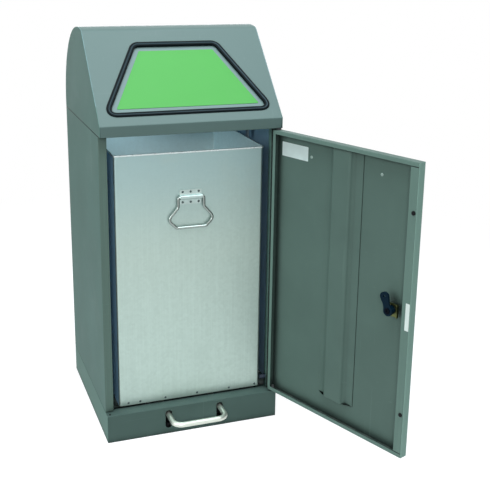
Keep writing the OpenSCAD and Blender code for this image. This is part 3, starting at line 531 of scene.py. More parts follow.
@dataclass(frozen=True)
class Zinc:
    """Galvanised or zinc-plated steel sheet."""

    name: str
    colour: Colour
    roughness: float = 0.36
    metallic: float = 0.85
    spangle: float = 0.35
    dent: float = 0.5
    streaks: float = 0.5
    inside: Colour | None = None
    boxes: tuple[Box, ...] = ()
    dull: float = 0.15
    gap_reflection: Colour | None = None
    gap_reflection_boxes: tuple[Box, ...] = ()
    gap: float = 50.0 * MM
    top_shade: Colour | None = None
    top_shade_fade: tuple[float, float] = (0.0, 1.0)

    def material(self) -> bpy.types.Material:
        """Builds the zinc with its spangle, streaks and dents.

        Returns:
            The material.
        """
        made, graph, vector = blank_material(self.name, self.colour)
        zinc = Effect.ROLLED.place(graph, vector)
        marks = Effect.MARKS.place(graph, vector, Amount=0.7)
        edge = Effect.EDGE.place(graph, vector)["Mask"]
        deep, pale = scaled(self.colour, 0.84), scaled(self.colour, 1.14)
        colour = graph.tinted(self.colour, deep, zinc["Spangle"], self.spangle)
        colour = graph.mix(graph.spread(zinc["Streak"], 0.4, 0.75, 0.0, self.streaks), colour, pale)
        # Painted shade: the zinc darkens towards the top, under the hood.
        if self.top_shade:
            colour = graph.mix(graph.spread(graph.parts(vector)["Z"], *self.top_shade_fade), colour, self.top_shade)
        colour = graph.tinted(colour, deep, marks["Smudge"], 0.4)
        # Paler edges: a painted highlight, and wear.
        colour = graph.tinted(colour, pale, edge, 0.5)
        rough = graph.math("MULTIPLY_ADD", zinc["Spangle"], 0.1, self.roughness)
        rough = graph.math("MULTIPLY_ADD", marks["Scratch"], -0.1, rough)
        metallic = self.metallic
        # Painted reflection: the inside is paler and duller than the zinc outside, so that it reads bright in its
        # shade.
        if self.inside:
            mask = graph.within_any(vector, self.boxes)
            lining = graph.tinted(self.inside, deep, zinc["Spangle"], 0.15)
            colour = graph.mix(mask, colour, lining)
            # Painted reflection: in the narrow gaps beside the walls the zinc takes a pale blue, dull tone.
            if self.gap_reflection:
                narrow = graph.times(Effect.RECESS.place(graph, vector, Reach=self.gap)["Mask"],
                                    graph.within_any(vector, self.gap_reflection_boxes))
                colour = graph.mix(narrow, colour, self.gap_reflection)
                mask = graph.math("MAXIMUM", mask, narrow)
            metallic = graph.math("MULTIPLY_ADD", mask, self.dull - self.metallic, self.metallic)
        close_material(graph, {"Base Color": colour, "Metallic": metallic, "Roughness": rough,
                               "Normal": graph.bump(zinc["Height"], self.dent, 0.6 * MM)})
        return made


@dataclass(frozen=True)
class Bright:
    """Ground or polished bare metal."""

    name: str
    colour: Colour
    roughness: float = 0.2

    def material(self) -> bpy.types.Material:
        """Builds the metal with its grinding lines and dull patches.

        Returns:
            The material.
        """
        made, graph, vector = blank_material(self.name, self.colour)
        lines = graph.noise(vector, 900.0, 2.0, 0.6)
        patch = graph.noise(vector, 35.0, 3.0, 0.6)
        marks = Effect.MARKS.place(graph, vector, Amount=0.8)
        colour = graph.mix(graph.spread(lines, 0.35, 0.7, 0.0, 0.5), self.colour, scaled(self.colour, 0.8))
        rough = graph.math("MULTIPLY_ADD", graph.spread(patch, 0.35, 0.7), 0.1, self.roughness)
        rough = graph.math("MULTIPLY_ADD", marks["Scratch"], 0.15, rough)
        close_material(graph, {"Base Color": colour, "Metallic": 1.0, "Roughness": rough,
                               "Normal": graph.bump(lines, 0.12, 0.1 * MM)})
        return made


@dataclass(frozen=True)
class Polymer:
    """Rubber, moulded plastic or film, by its gloss and its grain."""

    name: str
    colour: Colour
    roughness: float = 0.5
    grain: float = 700.0
    bump: float = 0.15
    dust: float = 0.15
    edge_wear_and_highlight: float = 0.0
    sheen: float = 0.5
    mottle: float = 1.0
    shading_tone: Colour | None = None

    def material(self) -> bpy.types.Material:
        """Builds the polymer with its grain, smudges and dust.

        Returns:
            The material.
        """
        made, graph, vector = blank_material(self.name, self.colour)
        grain = graph.noise(vector, self.grain, 3.0, 0.6)
        patches = graph.spread(graph.noise(vector, 24.0, 3.0, 0.6), 0.3, 0.7, 0.0, self.mottle)
        marks = Effect.MARKS.place(graph, vector, Amount=0.6)
        dust = Effect.DUST.place(graph, vector, Amount=self.dust)["Mask"]
        edge = Effect.EDGE.place(graph, vector)["Mask"]
        colour = graph.with_shading_tone(graph.mix(patches, self.colour, scaled(self.colour, 0.88)), self.shading_tone)
        # Paler edges: a painted highlight, and wear.
        colour = graph.tinted(colour, scaled(self.colour, 1.5, 0.04), edge, self.edge_wear_and_highlight)
        colour = graph.mix(dust, colour, POLYMER_DUST)
        rough = graph.math("MULTIPLY_ADD", grain, 0.08, self.roughness)
        rough = graph.math("MULTIPLY_ADD", marks["Smudge"], -0.08, rough)
        close_material(graph, {"Base Color": colour, "Roughness": rough, "Specular IOR Level": self.sheen,
                               "Normal": graph.bump(grain, self.bump, 0.1 * MM)})
        return made


# The side, hood, plinth and door paints are one enamel, each given its own tone so that its part comes out as
# light or as dark as it was lit: the differences between them are painted light and shade.
FINISHES: dict[str, Enamel | Zinc | Bright | Polymer] = {
    "side": Enamel("side_paint", tone(92, 126, 118), edge_wear_and_highlight=0.25, sheen=0.05, shade=0.95, reach=0.04,
                   shading_tone=tone(94, 116, 107), inside=tone(140, 172, 188),
                   boxes=CABINET_INSIDE, joints=SEAM_SHADE_BOXES),
    "hood": Enamel("hood_paint", tone(83, 106, 102), roughness=0.46, dust=0.0, sheen=0.3, painted_top_light=0.1),
    "flap": Enamel("flap_paint", tone(108, 134, 131), roughness=0.46, dust=0.0, sheen=0.3, shade=0.4),
    "plinth": Enamel("plinth_paint", tone(79, 101, 95), dust=0.04, edge_wear_and_highlight=0.8, sheen=0.1,
                     shading_tone=tone(86, 124, 114)),
    # The cabinet floor is painted dark, with full painted shade, so that the gap under the container reads black.
    "floor": Enamel("shade_dark_floor_paint", tone(60, 76, 72), shade=1.0, reach=0.03),
    "door": Enamel("door_paint", tone(84, 107, 99), dust=0.12, edge_wear_and_highlight=0.3, shade=0.85, reach=0.03,
                   shading_tone=tone(142, 179, 166)),
    "stud": Enamel("stud_paint", tone(150, 172, 164), dust=0.0),
    "insert": Polymer("insert_green", tone(55, 154, 52), roughness=0.38, grain=420.0, bump=0.03, dust=0.0,
                      mottle=0.1, sheen=0.35),
    "trim": Polymer("trim_rubber", tone(9, 19, 22), roughness=0.3, dust=0.0, sheen=0.05,
                    shading_tone=tone(66, 84, 90)),
    "buffer": Polymer("buffer_rubber", tone(12, 14, 16), dust=0.0, sheen=0.15),
    "guide": Polymer("guide_plastic", tone(24, 38, 54), roughness=0.42),
    "bush": Polymer("bush_plastic", tone(40, 44, 46), roughness=0.45),
    "lock_black": Polymer("lock_black", tone(8, 31, 45), roughness=0.25, edge_wear_and_highlight=0.15, dust=0.0, sheen=0.04),
    "label": Polymer("label_film", tone(206, 224, 220), roughness=0.34, grain=300.0, bump=0.04),
    "sticker": Polymer("sticker_film", tone(224, 238, 232), roughness=0.4, grain=300.0, bump=0.04),
    "galvanised": Zinc("galvanised_sheet", tone(173, 192, 184), spangle=0.3, dent=0.3, streaks=0.3,
                       inside=tone(186, 208, 208), gap_reflection=tone(165, 213, 240), top_shade=tone(150, 176, 176),
                       top_shade_fade=(0.4, 0.67), gap_reflection_boxes=CONTAINER_GAP_BOXES, boxes=CONTAINER_INSIDE),
    "rim": Zinc("galvanised_rim", tone(205, 216, 215), roughness=0.26, spangle=0.2),
    "bracket": Zinc("galvanised_bracket", tone(172, 190, 186), roughness=0.3, spangle=0.2),
    "plain": Zinc("plain_sheet", tone(150, 160, 162), roughness=0.42),
    "drive": Zinc("drive_steel", tone(158, 164, 164), roughness=0.34, spangle=0.1, dent=0.1),
    "fastener": Zinc("fastener_steel", tone(150, 158, 156), roughness=0.34, spangle=0.1, dent=0.1),
    "rivet": Zinc("rivet_steel", tone(66, 80, 80), roughness=0.4, metallic=0.6, spangle=0.1, dent=0.1),
    "stainless": Bright("stainless_bar", tone(206, 212, 202), roughness=0.4),
    "wire": Bright("bright_wire", tone(150, 160, 156), roughness=0.16),
    "spring": Bright("spring_wire", tone(168, 172, 172), roughness=0.3),
    "brass": Bright("lock_brass", tone(98, 104, 66), roughness=0.34),
    "lock_steel": Bright("lock_steel", tone(140, 144, 146), roughness=0.3),
    "screw_black": Polymer("screw_black", tone(2, 8, 18), roughness=0.3, dust=0.0, sheen=0.04),
}


@cache
def finished(name: str) -> bpy.types.Material:
    """Builds a finish the first time it is asked for."""
    return FINISHES[name].material()


def dress(table: dict[str, tuple[str, ...]]) -> None:
    """Gives nodes of the frame their finishes.

    Args:
        table: The nodes of each finish, by its name.
    """
    for name, nodes in table.items():
        for node in nodes:
            mesh = frame["nodes"][node].data
            mesh.materials.clear()
            mesh.materials.append(finished(name))


class Side(Enum):
    """The sides of a piece's box, each as its axis and whether it is the high end."""

    LEFT = (0, False)
    RIGHT = (0, True)
    FRONT = (1, False)
    BACK = (1, True)
    BOTTOM = (2, False)
    TOP = (2, True)


@dataclass(frozen=True)
class Bend:
    """A rounding along the edges that lie on two sides of a piece's box, or on one.

    Edges whose faces meet at less than the least angle, in degrees, stay as they are.
    """

    radius: float
    sides: tuple[tuple[Side, ...], ...]
    steps: int = 3
    least_angle: float = 20.0


def body_of(node: str) -> str:
    """Gives the body that holds a node."""
    return next(body for body, nodes in frame["record"]["behaviour"]["bodies"].items() if node in nodes)


def joint_named(name: str) -> dict:
    """Gives a joint of the frame by its name."""
    return next(joint for joint in frame["joints"] if joint["name"] == name)


def settle_order(shape: bmesh.types.BMesh) -> None:
    """Sorts verts, edges and faces along the slant, so that each run gives the same mesh.

    Args:
        shape: The mesh.
    """
    shape.verts.sort(key=lambda vert: vert.co.dot(SLANT))
    shape.edges.sort(key=lambda edge: (edge.verts[0].co + edge.verts[1].co).dot(SLANT))
    shape.faces.sort(key=lambda face: face.calc_center_median().dot(SLANT))


def add_piece(name: str, shape: bmesh.types.BMesh, finish: str, body: str,
              smooth: float = 32.0) -> bpy.types.Object:
    """Makes a piece of the shape and lets it ride on its body.

    Args:
        name: The piece's name.
        shape: Its mesh, which is freed.
        finish: Its finish.
        body: The body that carries it.
        smooth: Faces that meet at less than this angle, in degrees, are shaded as one.

    Returns:
        The new object.
    """
    settle_order(shape)
    mesh = bpy.data.meshes.new(name)
    shape.to_mesh(mesh)
    shape.free()
    mesh.materials.append(finished(finish))
    mesh.shade_smooth()
    mesh.set_sharp_from_angle(angle=math.radians(smooth))
    made = bpy.data.objects.new(name, mesh)
    bpy.context.scene.collection.objects.link(made)
    weighted = made.modifiers.new("normals", "WEIGHTED_NORMAL")
    weighted.keep_sharp = True
    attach(made, body)
    return made


def merged_copy(node: str) -> bmesh.types.BMesh:
    """Copies a node's mesh with its loose triangles joined and its flat faces whole.

    Args:
        node: The node.

    Returns:
        The mesh, which the caller frees.
    """
    shape = bmesh.new()
    shape.from_mesh(frame["nodes"][node].data)
    bmesh.ops.remove_doubles(shape, verts=shape.verts, dist=NEAR)
    bmesh.ops.dissolve_limit(shape, angle_limit=math.radians(0.2), verts=shape.verts, edges=shape.edges)
    return shape


def round_off(shape: bmesh.types.BMesh, parts: list, radius: float, steps: int,
              affect: str = "VERTICES") -> None:
    """Bevels verts, or edges, to an arc."""
    bmesh.ops.bevel(shape, geom=parts, offset=radius, offset_type="OFFSET", segments=steps, profile=0.5,
                    affect=affect, material=-1, clamp_overlap=affect == "EDGES")


def edges_on(shape: bmesh.types.BMesh, bend: Bend) -> list[bmesh.types.BMEdge]:
    """Finds the edges that a bend rounds.

    Args:
        shape: The mesh, upright in its own frame.
        bend: The sides that its edges lie on.

    Returns:
        The edges.
    """
    places = [[vert.co[axis] for vert in shape.verts] for axis in range(3)]
    spans = [(min(along), max(along)) for along in places]

    def lies_on(edge: bmesh.types.BMEdge, side: Side) -> bool:
        """Says whether both ends of the edge are on that side of the box."""
        axis, high = side.value
        return all(abs(v.co[axis] - spans[axis][int(high)]) < NEAR for v in edge.verts)

    return [edge for edge in shape.edges
            if len(edge.link_faces) == 2 and edge.calc_face_angle(0.0) > math.radians(bend.least_angle)
            and any(all(lies_on(edge, side) for side in group) for group in bend.sides)]


@dataclass
class Waist:
    """Narrowing of a flat lever between its hub and its swollen head."""

    hub: Vector
    reach: Vector
    depth: float = 0.24
    swell: float = 0.18
    skew: float = 0.8
    steps: int = 12

    def draw_in(self, shape: bmesh.types.BMesh) -> None:
        """Cuts the lever across and moves its sides inwards.

        Args:
            shape: The lever, upright in its own frame.
        """
        for step in range(1, self.steps):
            at = self.hub + self.reach * (step / self.steps)
            bmesh.ops.bisect_plane(shape, geom=shape.verts[:] + shape.edges[:] + shape.faces[:], dist=NEAR,
                                   plane_co=at, plane_no=self.reach)
        across = self.reach.normalized().cross(Vector((0, 1, 0)))
        for vert in shape.verts:
            share = (vert.co - self.hub).dot(self.reach) / self.reach.length_squared
            swell = self.swell * min(1.0, max(0.0, 2.0 * share - 1.0))
            if share < 1.0:
                swell -= self.depth * math.sin(math.pi * max(0.0, share) ** self.skew) ** 2
            vert.co += across * (vert.co - self.hub).dot(across) * swell


def folded_copy(node: str, finish: str, bends: list[Bend], place: Matrix | None = None,
                shading_shares: Callable[[bmesh.types.BMFace], float] | None = None,
                waist: Waist | None = None) -> bpy.types.Object:
    """Stands a copy of a node with rounded folds in for it.

    Args:
        node: The node that is replaced.
        finish: Its finish.
        bends: The roundings, one after the other.
        place: The matrix from the piece's upright frame to where it lies.
        shading_shares: How far a face of the upright piece takes the finish's second tone, from 0 to 1.
        waist: Where the piece is drawn in.

    Returns:
        The new piece.
    """
    shape = merged_copy(node)
    if place:
        shape.transform(place.inverted())
        shape.normal_update()
    if shading_shares:
        shading_tone = shape.faces.layers.float.new(SHADING_TONE_ATTRIBUTE)
        for face in shape.faces:
            face[shading_tone] = shading_shares(face)
    if waist:
        waist.draw_in(shape)
    for bend in bends:
        round_off(shape, edges_on(shape, bend), bend.radius, bend.steps, affect="EDGES")
    if place:
        shape.transform(place)
    made = add_piece(node + "_folded", shape, finish, body_of(node))
    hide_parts(node)
    return made


@dataclass
class Cabinet:
    """Plinth, walls, floor, back and the fixed pieces of the drive."""

    fold: float = 1.6 * MM
    plug: Vector = field(default_factory=lambda: Vector((-193.0, -193.0, 65.0)) * MM)
    plug_radius: float = 2.4 * MM
    plug_rise: float = 1.8 * MM

    def build(self) -> None:
        """Rounds the folds of plinth and walls, dresses the rest and plugs the relief hole."""
        outer = (Side.LEFT, Side.RIGHT, Side.FRONT, Side.BACK)
        corners = tuple((x, y) for x in outer[:2] for y in outer[2:])
        # The plinth's left face takes a paler second tone: painted light.
        folded_copy("plinth_shell", "plinth",
                    [Bend(self.fold, corners + tuple((side, Side.TOP) for side in outer))],
                    shading_shares=lambda face: float(face.normal.x < -FACING))
        # The front faces of the walls, the jambs, take a second tone: painted shade.
        walls = (("left_panel", Side.LEFT, Side.RIGHT), ("right_panel", Side.RIGHT, Side.LEFT))
        for node, wall, inner in walls:
            folded_copy(node, "side",
                        [Bend(self.fold, ((wall, Side.FRONT), (inner, Side.FRONT), (wall, Side.BACK),
                                          (wall, Side.TOP), (wall, Side.BOTTOM)))],
                        shading_shares=lambda face: float(face.normal.y < -FACING))
        dress({
            "side": ("back_panel",),
            "floor": ("floor_panel", "floor_runners"),
            "plain": ("base_plate", "bearing_left", "bearing_right", "rod_guides"),
            "buffer": ("pedal_buffers",),
            "bush": ("bearing_bushes",),
            "guide": ("guide_buffers",),
            "drive": ("hinge_pins",),
            "fastener": ("bearing_screws", "joint_screws")})
        self.make_plug()

    def make_plug(self, steps: int = 8, turns: int = 32) -> None:
        """Closes the relief hole of the ledge with a domed rubber plug.

        Args:
            steps: Steps of the dome's arc.
            turns: Steps round the plug.
        """
        shape = bmesh.new()
        arc = [math.pi / 2 * step / steps for step in range(steps + 1)]
        profile = [shape.verts.new((self.plug_radius * math.sin(at), 0.0, self.plug_rise * math.cos(at)))
                   for at in arc]
        profile.append(shape.verts.new((self.plug_radius, 0.0, -self.plug_rise)))
        for pair in zip(profile, profile[1:]):
            shape.edges.new(pair)
        bmesh.ops.spin(shape, geom=shape.verts[:] + shape.edges[:], cent=(0, 0, 0), axis=(0, 0, 1),
                       dvec=(0, 0, 0), angle=2 * math.pi, steps=turns, use_merge=True)
        bmesh.ops.remove_doubles(shape, verts=shape.verts, dist=NEAR)
        bmesh.ops.holes_fill(shape, edges=shape.edges)
        bmesh.ops.recalc_face_normals(shape, faces=shape.faces)
        bmesh.ops.translate(shape, vec=self.plug, verts=shape.verts)
        add_piece("relief_plug", shape, "buffer", "cabinet")


@dataclass
class Hood:
    """Sloped hood with the rubber trim of its opening."""

    foot: Vector = field(default_factory=lambda: Vector((0.0, -200.0, 713.0)) * MM)
    slope: float = math.radians(45.8531)
    trim_low: float = 22.0 * MM
    trim_high: float = 213.013 * MM
    half_low: float = 191.0 * MM
    half_high: float = 96.5 * MM
    corner: float = 22.0 * MM
    corner_steps: int = 12
    trim_width: float = 11.0 * MM
    trim_proud: float = 2.6 * MM
    trim_depth: float = 3.7 * MM
    trim_steps: int = 16
    lobe_split: float = 0.56
    lobe_power: float = 0.7
    shoulder: float = 0.45
    outer_lobe: float = 0.55
    inner_lobe: float = 0.35
    inner_fall: float = 0.3
    gleam_width: float = 0.09
    fold: float = 1.6 * MM
    foot_fold: float = 1.2 * MM
    rim_fold: float = 0.4 * MM

    def build(self) -> None:
        """Rounds the folds of the hood and makes the trim."""
        folded_copy("hood_wrap", "hood", [Bend(self.fold, ((Side.FRONT,),))])
        for node, side in (("hood_side_left", Side.LEFT), ("hood_side_right", Side.RIGHT)):
            folded_copy(node, "side", [Bend(self.foot_fold, ((side, Side.BOTTOM),)),
                                       Bend(self.rim_fold, ((side,),), steps=2)])
        dress({"hood": ("flap_bearings",)})
        self.make_trim()

    def on_slope(self) -> Matrix:
        """Gives the place of the slope: X across, Y up the slope, Z outwards."""
        return Matrix.Translation(self.foot) @ Matrix.Rotation(self.slope, 4, "X")

    def outline(self, shape: bmesh.types.BMesh, height: float) -> bmesh.types.BMFace:
        """Draws the rounded trapezoid of the opening's trim.

        Args:
            shape: The mesh that takes it.
            height: Its height over the slope.

        Returns:
            The face.
        """
        corners = ((-self.half_low, self.trim_low), (self.half_low, self.trim_low),
                   (self.half_high, self.trim_high), (-self.half_high, self.trim_high))
        verts = [shape.verts.new((x, y, height)) for x, y in corners]
        shape.faces.new(verts)
        lean = math.atan2(self.half_low - self.half_high, self.trim_high - self.trim_low)
        for pair, inner in ((verts[:2], math.pi / 2 - lean), (verts[2:], math.pi / 2 + lean)):
            round_off(shape, pair, self.corner / math.tan(inner / 2), self.corner_steps)
        return shape.faces[:][0]

    def bead_height(self, share: float) -> float:
        """Draws the section of the trim: a fat outer lobe and a slim inner one.

        Args:
            share: The place across the trim, from 0 outside to 1 inside.

        Returns:
            The height over the slope.
        """
        if share < self.lobe_split:
            turn = share / self.lobe_split
            lobe, fall = self.outer_lobe, 0.0
        else:
            turn = (share - self.lobe_split) / (1 - self.lobe_split)
            lobe, fall = self.inner_lobe, self.inner_fall
        swell = lobe * math.sin(math.pi * turn) ** self.lobe_power
        return self.trim_proud * (self.shoulder + swell - fall * turn)

    def make_trim(self) -> None:
        """Sweeps the two-lobed rubber round the opening by insets."""
        shape = bmesh.new()
        shading_tone = shape.verts.layers.float.new(SHADING_TONE_ATTRIBUTE)
        foot = self.outline(shape, -self.trim_depth)
        risen = bmesh.ops.extrude_face_region(shape, geom=[foot], use_keep_orig=True)
        top = next(item for item in risen["geom"] if isinstance(item, bmesh.types.BMFace))
        height = self.bead_height(0.0)
        bmesh.ops.translate(shape, verts=top.verts, vec=(0, 0, height + self.trim_depth))
        for step in range(1, self.trim_steps + 1):
            share = step / self.trim_steps
            target = self.bead_height(share)
            bmesh.ops.inset_region(shape, faces=[top], thickness=self.trim_width / self.trim_steps,
                                   depth=0.0, use_even_offset=True)
            bmesh.ops.translate(shape, verts=top.verts, vec=(0, 0, target - height))
            # The middle of the bead takes the paler second tone: a painted highlight line.
            for vert in top.verts:
                vert[shading_tone] = math.exp(-((share - 0.5) / self.gleam_width) ** 2)
            height = target
        sunk = bmesh.ops.extrude_face_region(shape, geom=[top])
        floor = next(item for item in sunk["geom"] if isinstance(item, bmesh.types.BMFace))
        bmesh.ops.translate(shape, verts=floor.verts, vec=(0, 0, -self.trim_depth - height))
        rings = list(floor.edges) + list(foot.edges)
        bmesh.ops.delete(shape, geom=[floor, foot, top], context="FACES_ONLY")
        bmesh.ops.bridge_loops(shape, edges=rings)
        bmesh.ops.recalc_face_normals(shape, faces=shape.faces)
        shape.transform(self.on_slope())
        made = add_piece("opening_bead", shape, "trim", "cabinet", smooth=50.0)
        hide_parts("opening_trim")


class Flap:
    """Swinging flap with its coloured insert."""

    def build(self) -> None:
        """Dresses the flap and its shaft."""
        dress({
            "flap": ("flap_panel", "flap_arms"),
            "insert": ("flap_insert",),
            "drive": ("flap_shaft", "flap_crank", "flap_collars")})


@dataclass
class Pedal:
    """Pedal bow with its springs and shaft, the lift arm and the push rod."""

    pressed: float = 0.73

    def build(self) -> None:
        """Dresses the pedal and its drive."""
        dress({
            "stainless": ("pedal_bow",),
            "drive": ("pedal_shaft", "shaft_collars", "lift_arm", "push_rod", "rod_pins")})
        self.make_springs()

    def make_springs(self) -> None:
        """Copies the springs into a piece with a mesh of its own."""
        node = "return_springs"
        made = add_piece("pressed_springs", merged_copy(node), "spring", body_of(node))
        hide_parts(node)
        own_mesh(made)


@dataclass
class Door:
    """Open door with its stiffener, lock, buffers, label and edge sticker."""

    fold: float = 1.4 * MM
    hat_fold: float = 4.0 * MM
    lever_fold: float = 0.7 * MM
    film_corner: float = 1.2 * MM
    side_share: float = 0.8
    return_share: float = 0.2
    inner_face: float = -198.8 * MM
    lip_face: float = -182.0 * MM
    free_side: float = -199.0 * MM
    film: float = 0.15 * MM
    hub: Vector = field(default_factory=lambda: Vector((-150.0, -176.0, 377.5)) * MM)
    reach: Vector = field(default_factory=lambda: Vector((10.3, 0.0, 28.2)) * MM)
    label: tuple[float, float, float, float] = (107.0 * MM, 630.0 * MM, 186.0 * MM, 661.0 * MM)
    sticker: tuple[float, float, float, float] = (-198.6 * MM, 347.0 * MM, -188.8 * MM, 404.0 * MM)

    def place(self) -> Matrix:
        """Works out how far the door stands open.

        Returns:
            The matrix from the closed door to where it stands.
        """
        joint = joint_named("door_swing")
        hinge = Vector(joint["pos_m"])
        turn = Matrix.Rotation(math.radians(-joint["range_deg"][0]), 4, "Z")
        return Matrix.Translation(hinge) @ turn @ Matrix.Translation(-hinge)

    def build(self) -> None:
        """Rounds the folds of the pan, then dresses and labels it."""
        across = (Side.LEFT, Side.RIGHT)
        upright = (Side.BOTTOM, Side.TOP)
        outer = tuple((side, face) for side in across + upright for face in (Side.FRONT, Side.BACK))
        corners = tuple((x, z) for x in across for z in upright)
        folded_copy("door_skin", "door", [Bend(self.fold, outer + corners)], self.place(), self.lit_lip_share)
        folded_copy("door_stiffener", "door", [Bend(self.hat_fold, ((Side.BACK,),), steps=5)], self.place())
        dress({
            "stud": ("door_rivets",),
            "bush": ("door_bushes",),
            "buffer": ("door_buffers",),
            "lock_black": ("lock_barrel",),
            "brass": ("lock_clip",),
            "lock_steel": ("lock_core",),
            "screw_black": ("lock_screw",)})
        folded_copy("lock_lever", "lock_black", [Bend(self.lever_fold, ((Side.FRONT,), (Side.BACK,)))],
                    self.place(), waist=Waist(self.hub, self.reach))
        self.make_film("door_label", self.label, self.inner_face, "label")
        self.make_film("edge_sticker", self.sticker, self.lip_face, "sticker")

    def lit_lip_share(self, face: bmesh.types.BMFace) -> float:
        """Marks the free side of the pan, and its return lips a little, for the paler second tone: painted light.

        Args:
            face: A face of the upright pan.

        Returns:
            How far the face takes the second tone, from 0 to 1.
        """
        centre = face.calc_center_median()
        if face.normal.x < -FACING and centre.x < self.free_side:
            return self.side_share
        return self.return_share if face.normal.y > FACING and centre.y > self.lip_face - NEAR else 0.0

    def make_film(self, name: str, area: tuple[float, float, float, float], face: float,
                  finish: str) -> None:
        """Sticks a bare film with round corners on a face of the closed door.

        Args:
            name: The piece's name.
            area: Low x, low z, high x and high z.
            face: The y of the face.
            finish: The film's finish.
        """
        shape = bmesh.new()
        low_x, low_z, high_x, high_z = area
        verts = [shape.verts.new((x, face, z)) for x, z in
                 ((low_x, low_z), (low_x, high_z), (high_x, high_z), (high_x, low_z))]
        shape.faces.new(verts)
        round_off(shape, verts, self.film_corner, steps=5)
        risen = bmesh.ops.extrude_face_region(shape, geom=shape.faces[:], use_keep_orig=True)
        bmesh.ops.translate(shape, vec=(0, self.film, 0),
                            verts=[item for item in risen["geom"] if isinstance(item, bmesh.types.BMVert)])
        bmesh.ops.recalc_face_normals(shape, faces=shape.faces)
        shape.transform(self.place())
        add_piece(name, shape, finish, "door")


@dataclass
class Container:
    """Loose galvanised container with its handle."""

    rim_fold: float = 0.8 * MM
    bracket_fold: float = 0.4 * MM

    def build(self) -> None:
        """Rounds the rim and the bracket, and dresses the rest."""
        dress({"galvanised": ("container_body", "container_base")})
        folded_copy("container_rim", "rim", [Bend(self.rim_fold, ((Side.TOP,), (Side.BOTTOM,)))])
        folded_copy("handle_bracket", "bracket",
                    [Bend(self.bracket_fold, ((Side.LEFT,), (Side.RIGHT,)), steps=2)])
        dress({"rivet": ("base_rivets", "bracket_rivets"), "wire": ("bail_handle",)})


@dataclass(frozen=True)
class Lamp:
    """Soft lamp that no camera sees: its place, size and aim in metres, its power in watts."""

    name: str
    place: tuple[float, float, float]
    size: tuple[float, float]
    power: float
    colour: Colour
    aim: tuple[float, float, float] = (0.05, -0.1, 0.45)

    def hang(self) -> None:
        """Adds the lamp and turns it to what it faces."""
        data = bpy.data.lights.new(self.name, "AREA")
        data.shape = "RECTANGLE"
        data.size, data.size_y = self.size
        data.energy = self.power
        data.color = self.colour[:3]
        lamp = bpy.data.objects.new(self.name, data)
        lamp.location = self.place
        lamp.rotation_euler = (Vector(self.aim) - Vector(self.place)).to_track_quat("-Z", "Y").to_euler()
        lamp.visible_camera = False
        bpy.context.scene.collection.objects.link(lamp)


LAMPS = (
    Lamp("left", (-3.0, -0.9, 1.5), (2.0, 2.0), 36.0, tone(250, 252, 255)),
    Lamp("top", (0.1, -0.6, 3.0), (2.4, 2.4), 88.0, tone(240, 248, 255)),
    Lamp("front", (-0.9, -3.0, 1.5), (1.0, 0.5), 44.0, tone(252, 253, 255)),
    Lamp("back", (0.6, 3.2, 0.75), (2.2, 1.0), 40.0, tone(248, 252, 255)),
    Lamp("inner", (-0.1, 0.07, 0.77), (0.12, 0.06), 0.48, tone(222, 242, 255), (-0.06, 0.167, 0.6)),
)


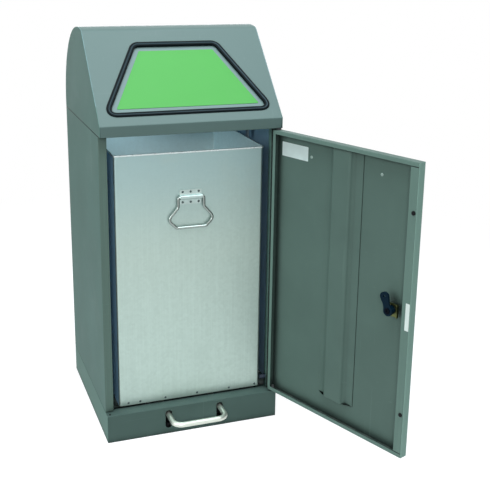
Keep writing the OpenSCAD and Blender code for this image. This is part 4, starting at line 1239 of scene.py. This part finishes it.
@dataclass
class Studio:
    """Camera, lamps, world and floor."""

    azimuth: float = math.radians(-20.32)
    elevation: float = math.radians(15.50)
    roll: float = math.radians(0.84)
    position: Vector = field(default_factory=lambda: Vector((-556.2, -2014.1, 1071.8)) * MM)
    focal_pixels: float = 919.9
    axis_row: float = 200.0
    ambient: float = 0.1
    floor_size: float = 12.0
    floor_drop: float = 0.4 * MM
    floor_fade: tuple[float, float] = (0.7, 1.9)
    floor_colour: Colour = (0.5, 0.5, 0.5, 1.0)
    floor_glow: float = 0.7

    def build(self) -> None:
        """Sets up the camera, the lamps, the world and the floor."""
        self.add_camera()
        for lamp in LAMPS:
            lamp.hang()
        self.add_world()
        self.add_floor()
        bpy.context.scene.view_settings.view_transform = "Standard"

    def add_camera(self) -> None:
        """Places the camera as the photograph was taken."""
        data = bpy.data.cameras.new("camera")
        data.sensor_width = SENSOR_WIDTH
        data.lens = self.focal_pixels / IMAGE_PIXELS * SENSOR_WIDTH
        data.shift_y = (self.axis_row - IMAGE_PIXELS / 2) / IMAGE_PIXELS
        camera = bpy.data.objects.new("camera", data)
        turn = (Matrix.Rotation(self.azimuth, 4, "Z")
                @ Matrix.Rotation(math.pi / 2 - self.elevation, 4, "X")
                @ Matrix.Rotation(self.roll, 4, "Z"))
        camera.matrix_world = Matrix.Translation(self.position) @ turn
        bpy.context.scene.collection.objects.link(camera)
        bpy.context.scene.camera = camera

    def add_world(self) -> None:
        """Makes the world white to the camera and in reflections, and dim as a light."""
        world = bpy.data.worlds.new("studio")
        world.use_nodes = True
        world.node_tree.nodes.clear()
        graph = Graph(world.node_tree)
        strength = graph.spread(graph.seen(), 0.0, 1.0, self.ambient, 1.0)
        light = graph.node("ShaderNodeBackground", {"Color": WHITE, "Strength": strength})
        graph.node("ShaderNodeOutputWorld", {0: light.outputs[0]})
        bpy.context.scene.world = world

    def add_floor(self) -> None:
        """Lays a pale floor that keeps a soft shadow."""
        shape = bmesh.new()
        bmesh.ops.create_grid(shape, x_segments=1, y_segments=1, size=self.floor_size)
        mesh = bpy.data.meshes.new("floor")
        shape.to_mesh(mesh)
        shape.free()
        floor = bpy.data.objects.new("floor", mesh)
        floor.location.z = -self.floor_drop
        made, graph, vector = blank_material("floor_white", tone(250, 250, 250))
        far = graph.node("ShaderNodeVectorMath", {0: vector}, operation="LENGTH").outputs["Value"]
        glow_level = graph.spread(far, *self.floor_fade, self.floor_glow, 1.0)
        dim = graph.mix(graph.spread(far, *self.floor_fade), self.floor_colour, BLACK)
        matt = graph.node("ShaderNodeBsdfDiffuse", {"Color": dim})
        glow = graph.node("ShaderNodeEmission", {"Color": WHITE,
                                                 "Strength": graph.times(graph.seen(), glow_level)})
        both = graph.node("ShaderNodeAddShader", {0: matt.outputs[0], 1: glow.outputs[0]})
        graph.node("ShaderNodeOutputMaterial", {0: both.outputs[0]})
        mesh.materials.append(made)
        bpy.context.scene.collection.objects.link(floor)
        floor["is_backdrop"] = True


def main() -> None:
    """Builds the bin and its studio in order."""
    logging.basicConfig(level=logging.INFO, format="%(name)s: %(message)s")
    for assembly in (Studio(), Cabinet(), Hood(), Flap(), Pedal(), Door(), Container()):
        assembly.build()
        log.info("%s built", type(assembly).__name__)
    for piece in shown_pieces():
        log.info("%s: %d faces", piece.name, len(piece.data.polygons))


if __name__ == "__main__":
    main()
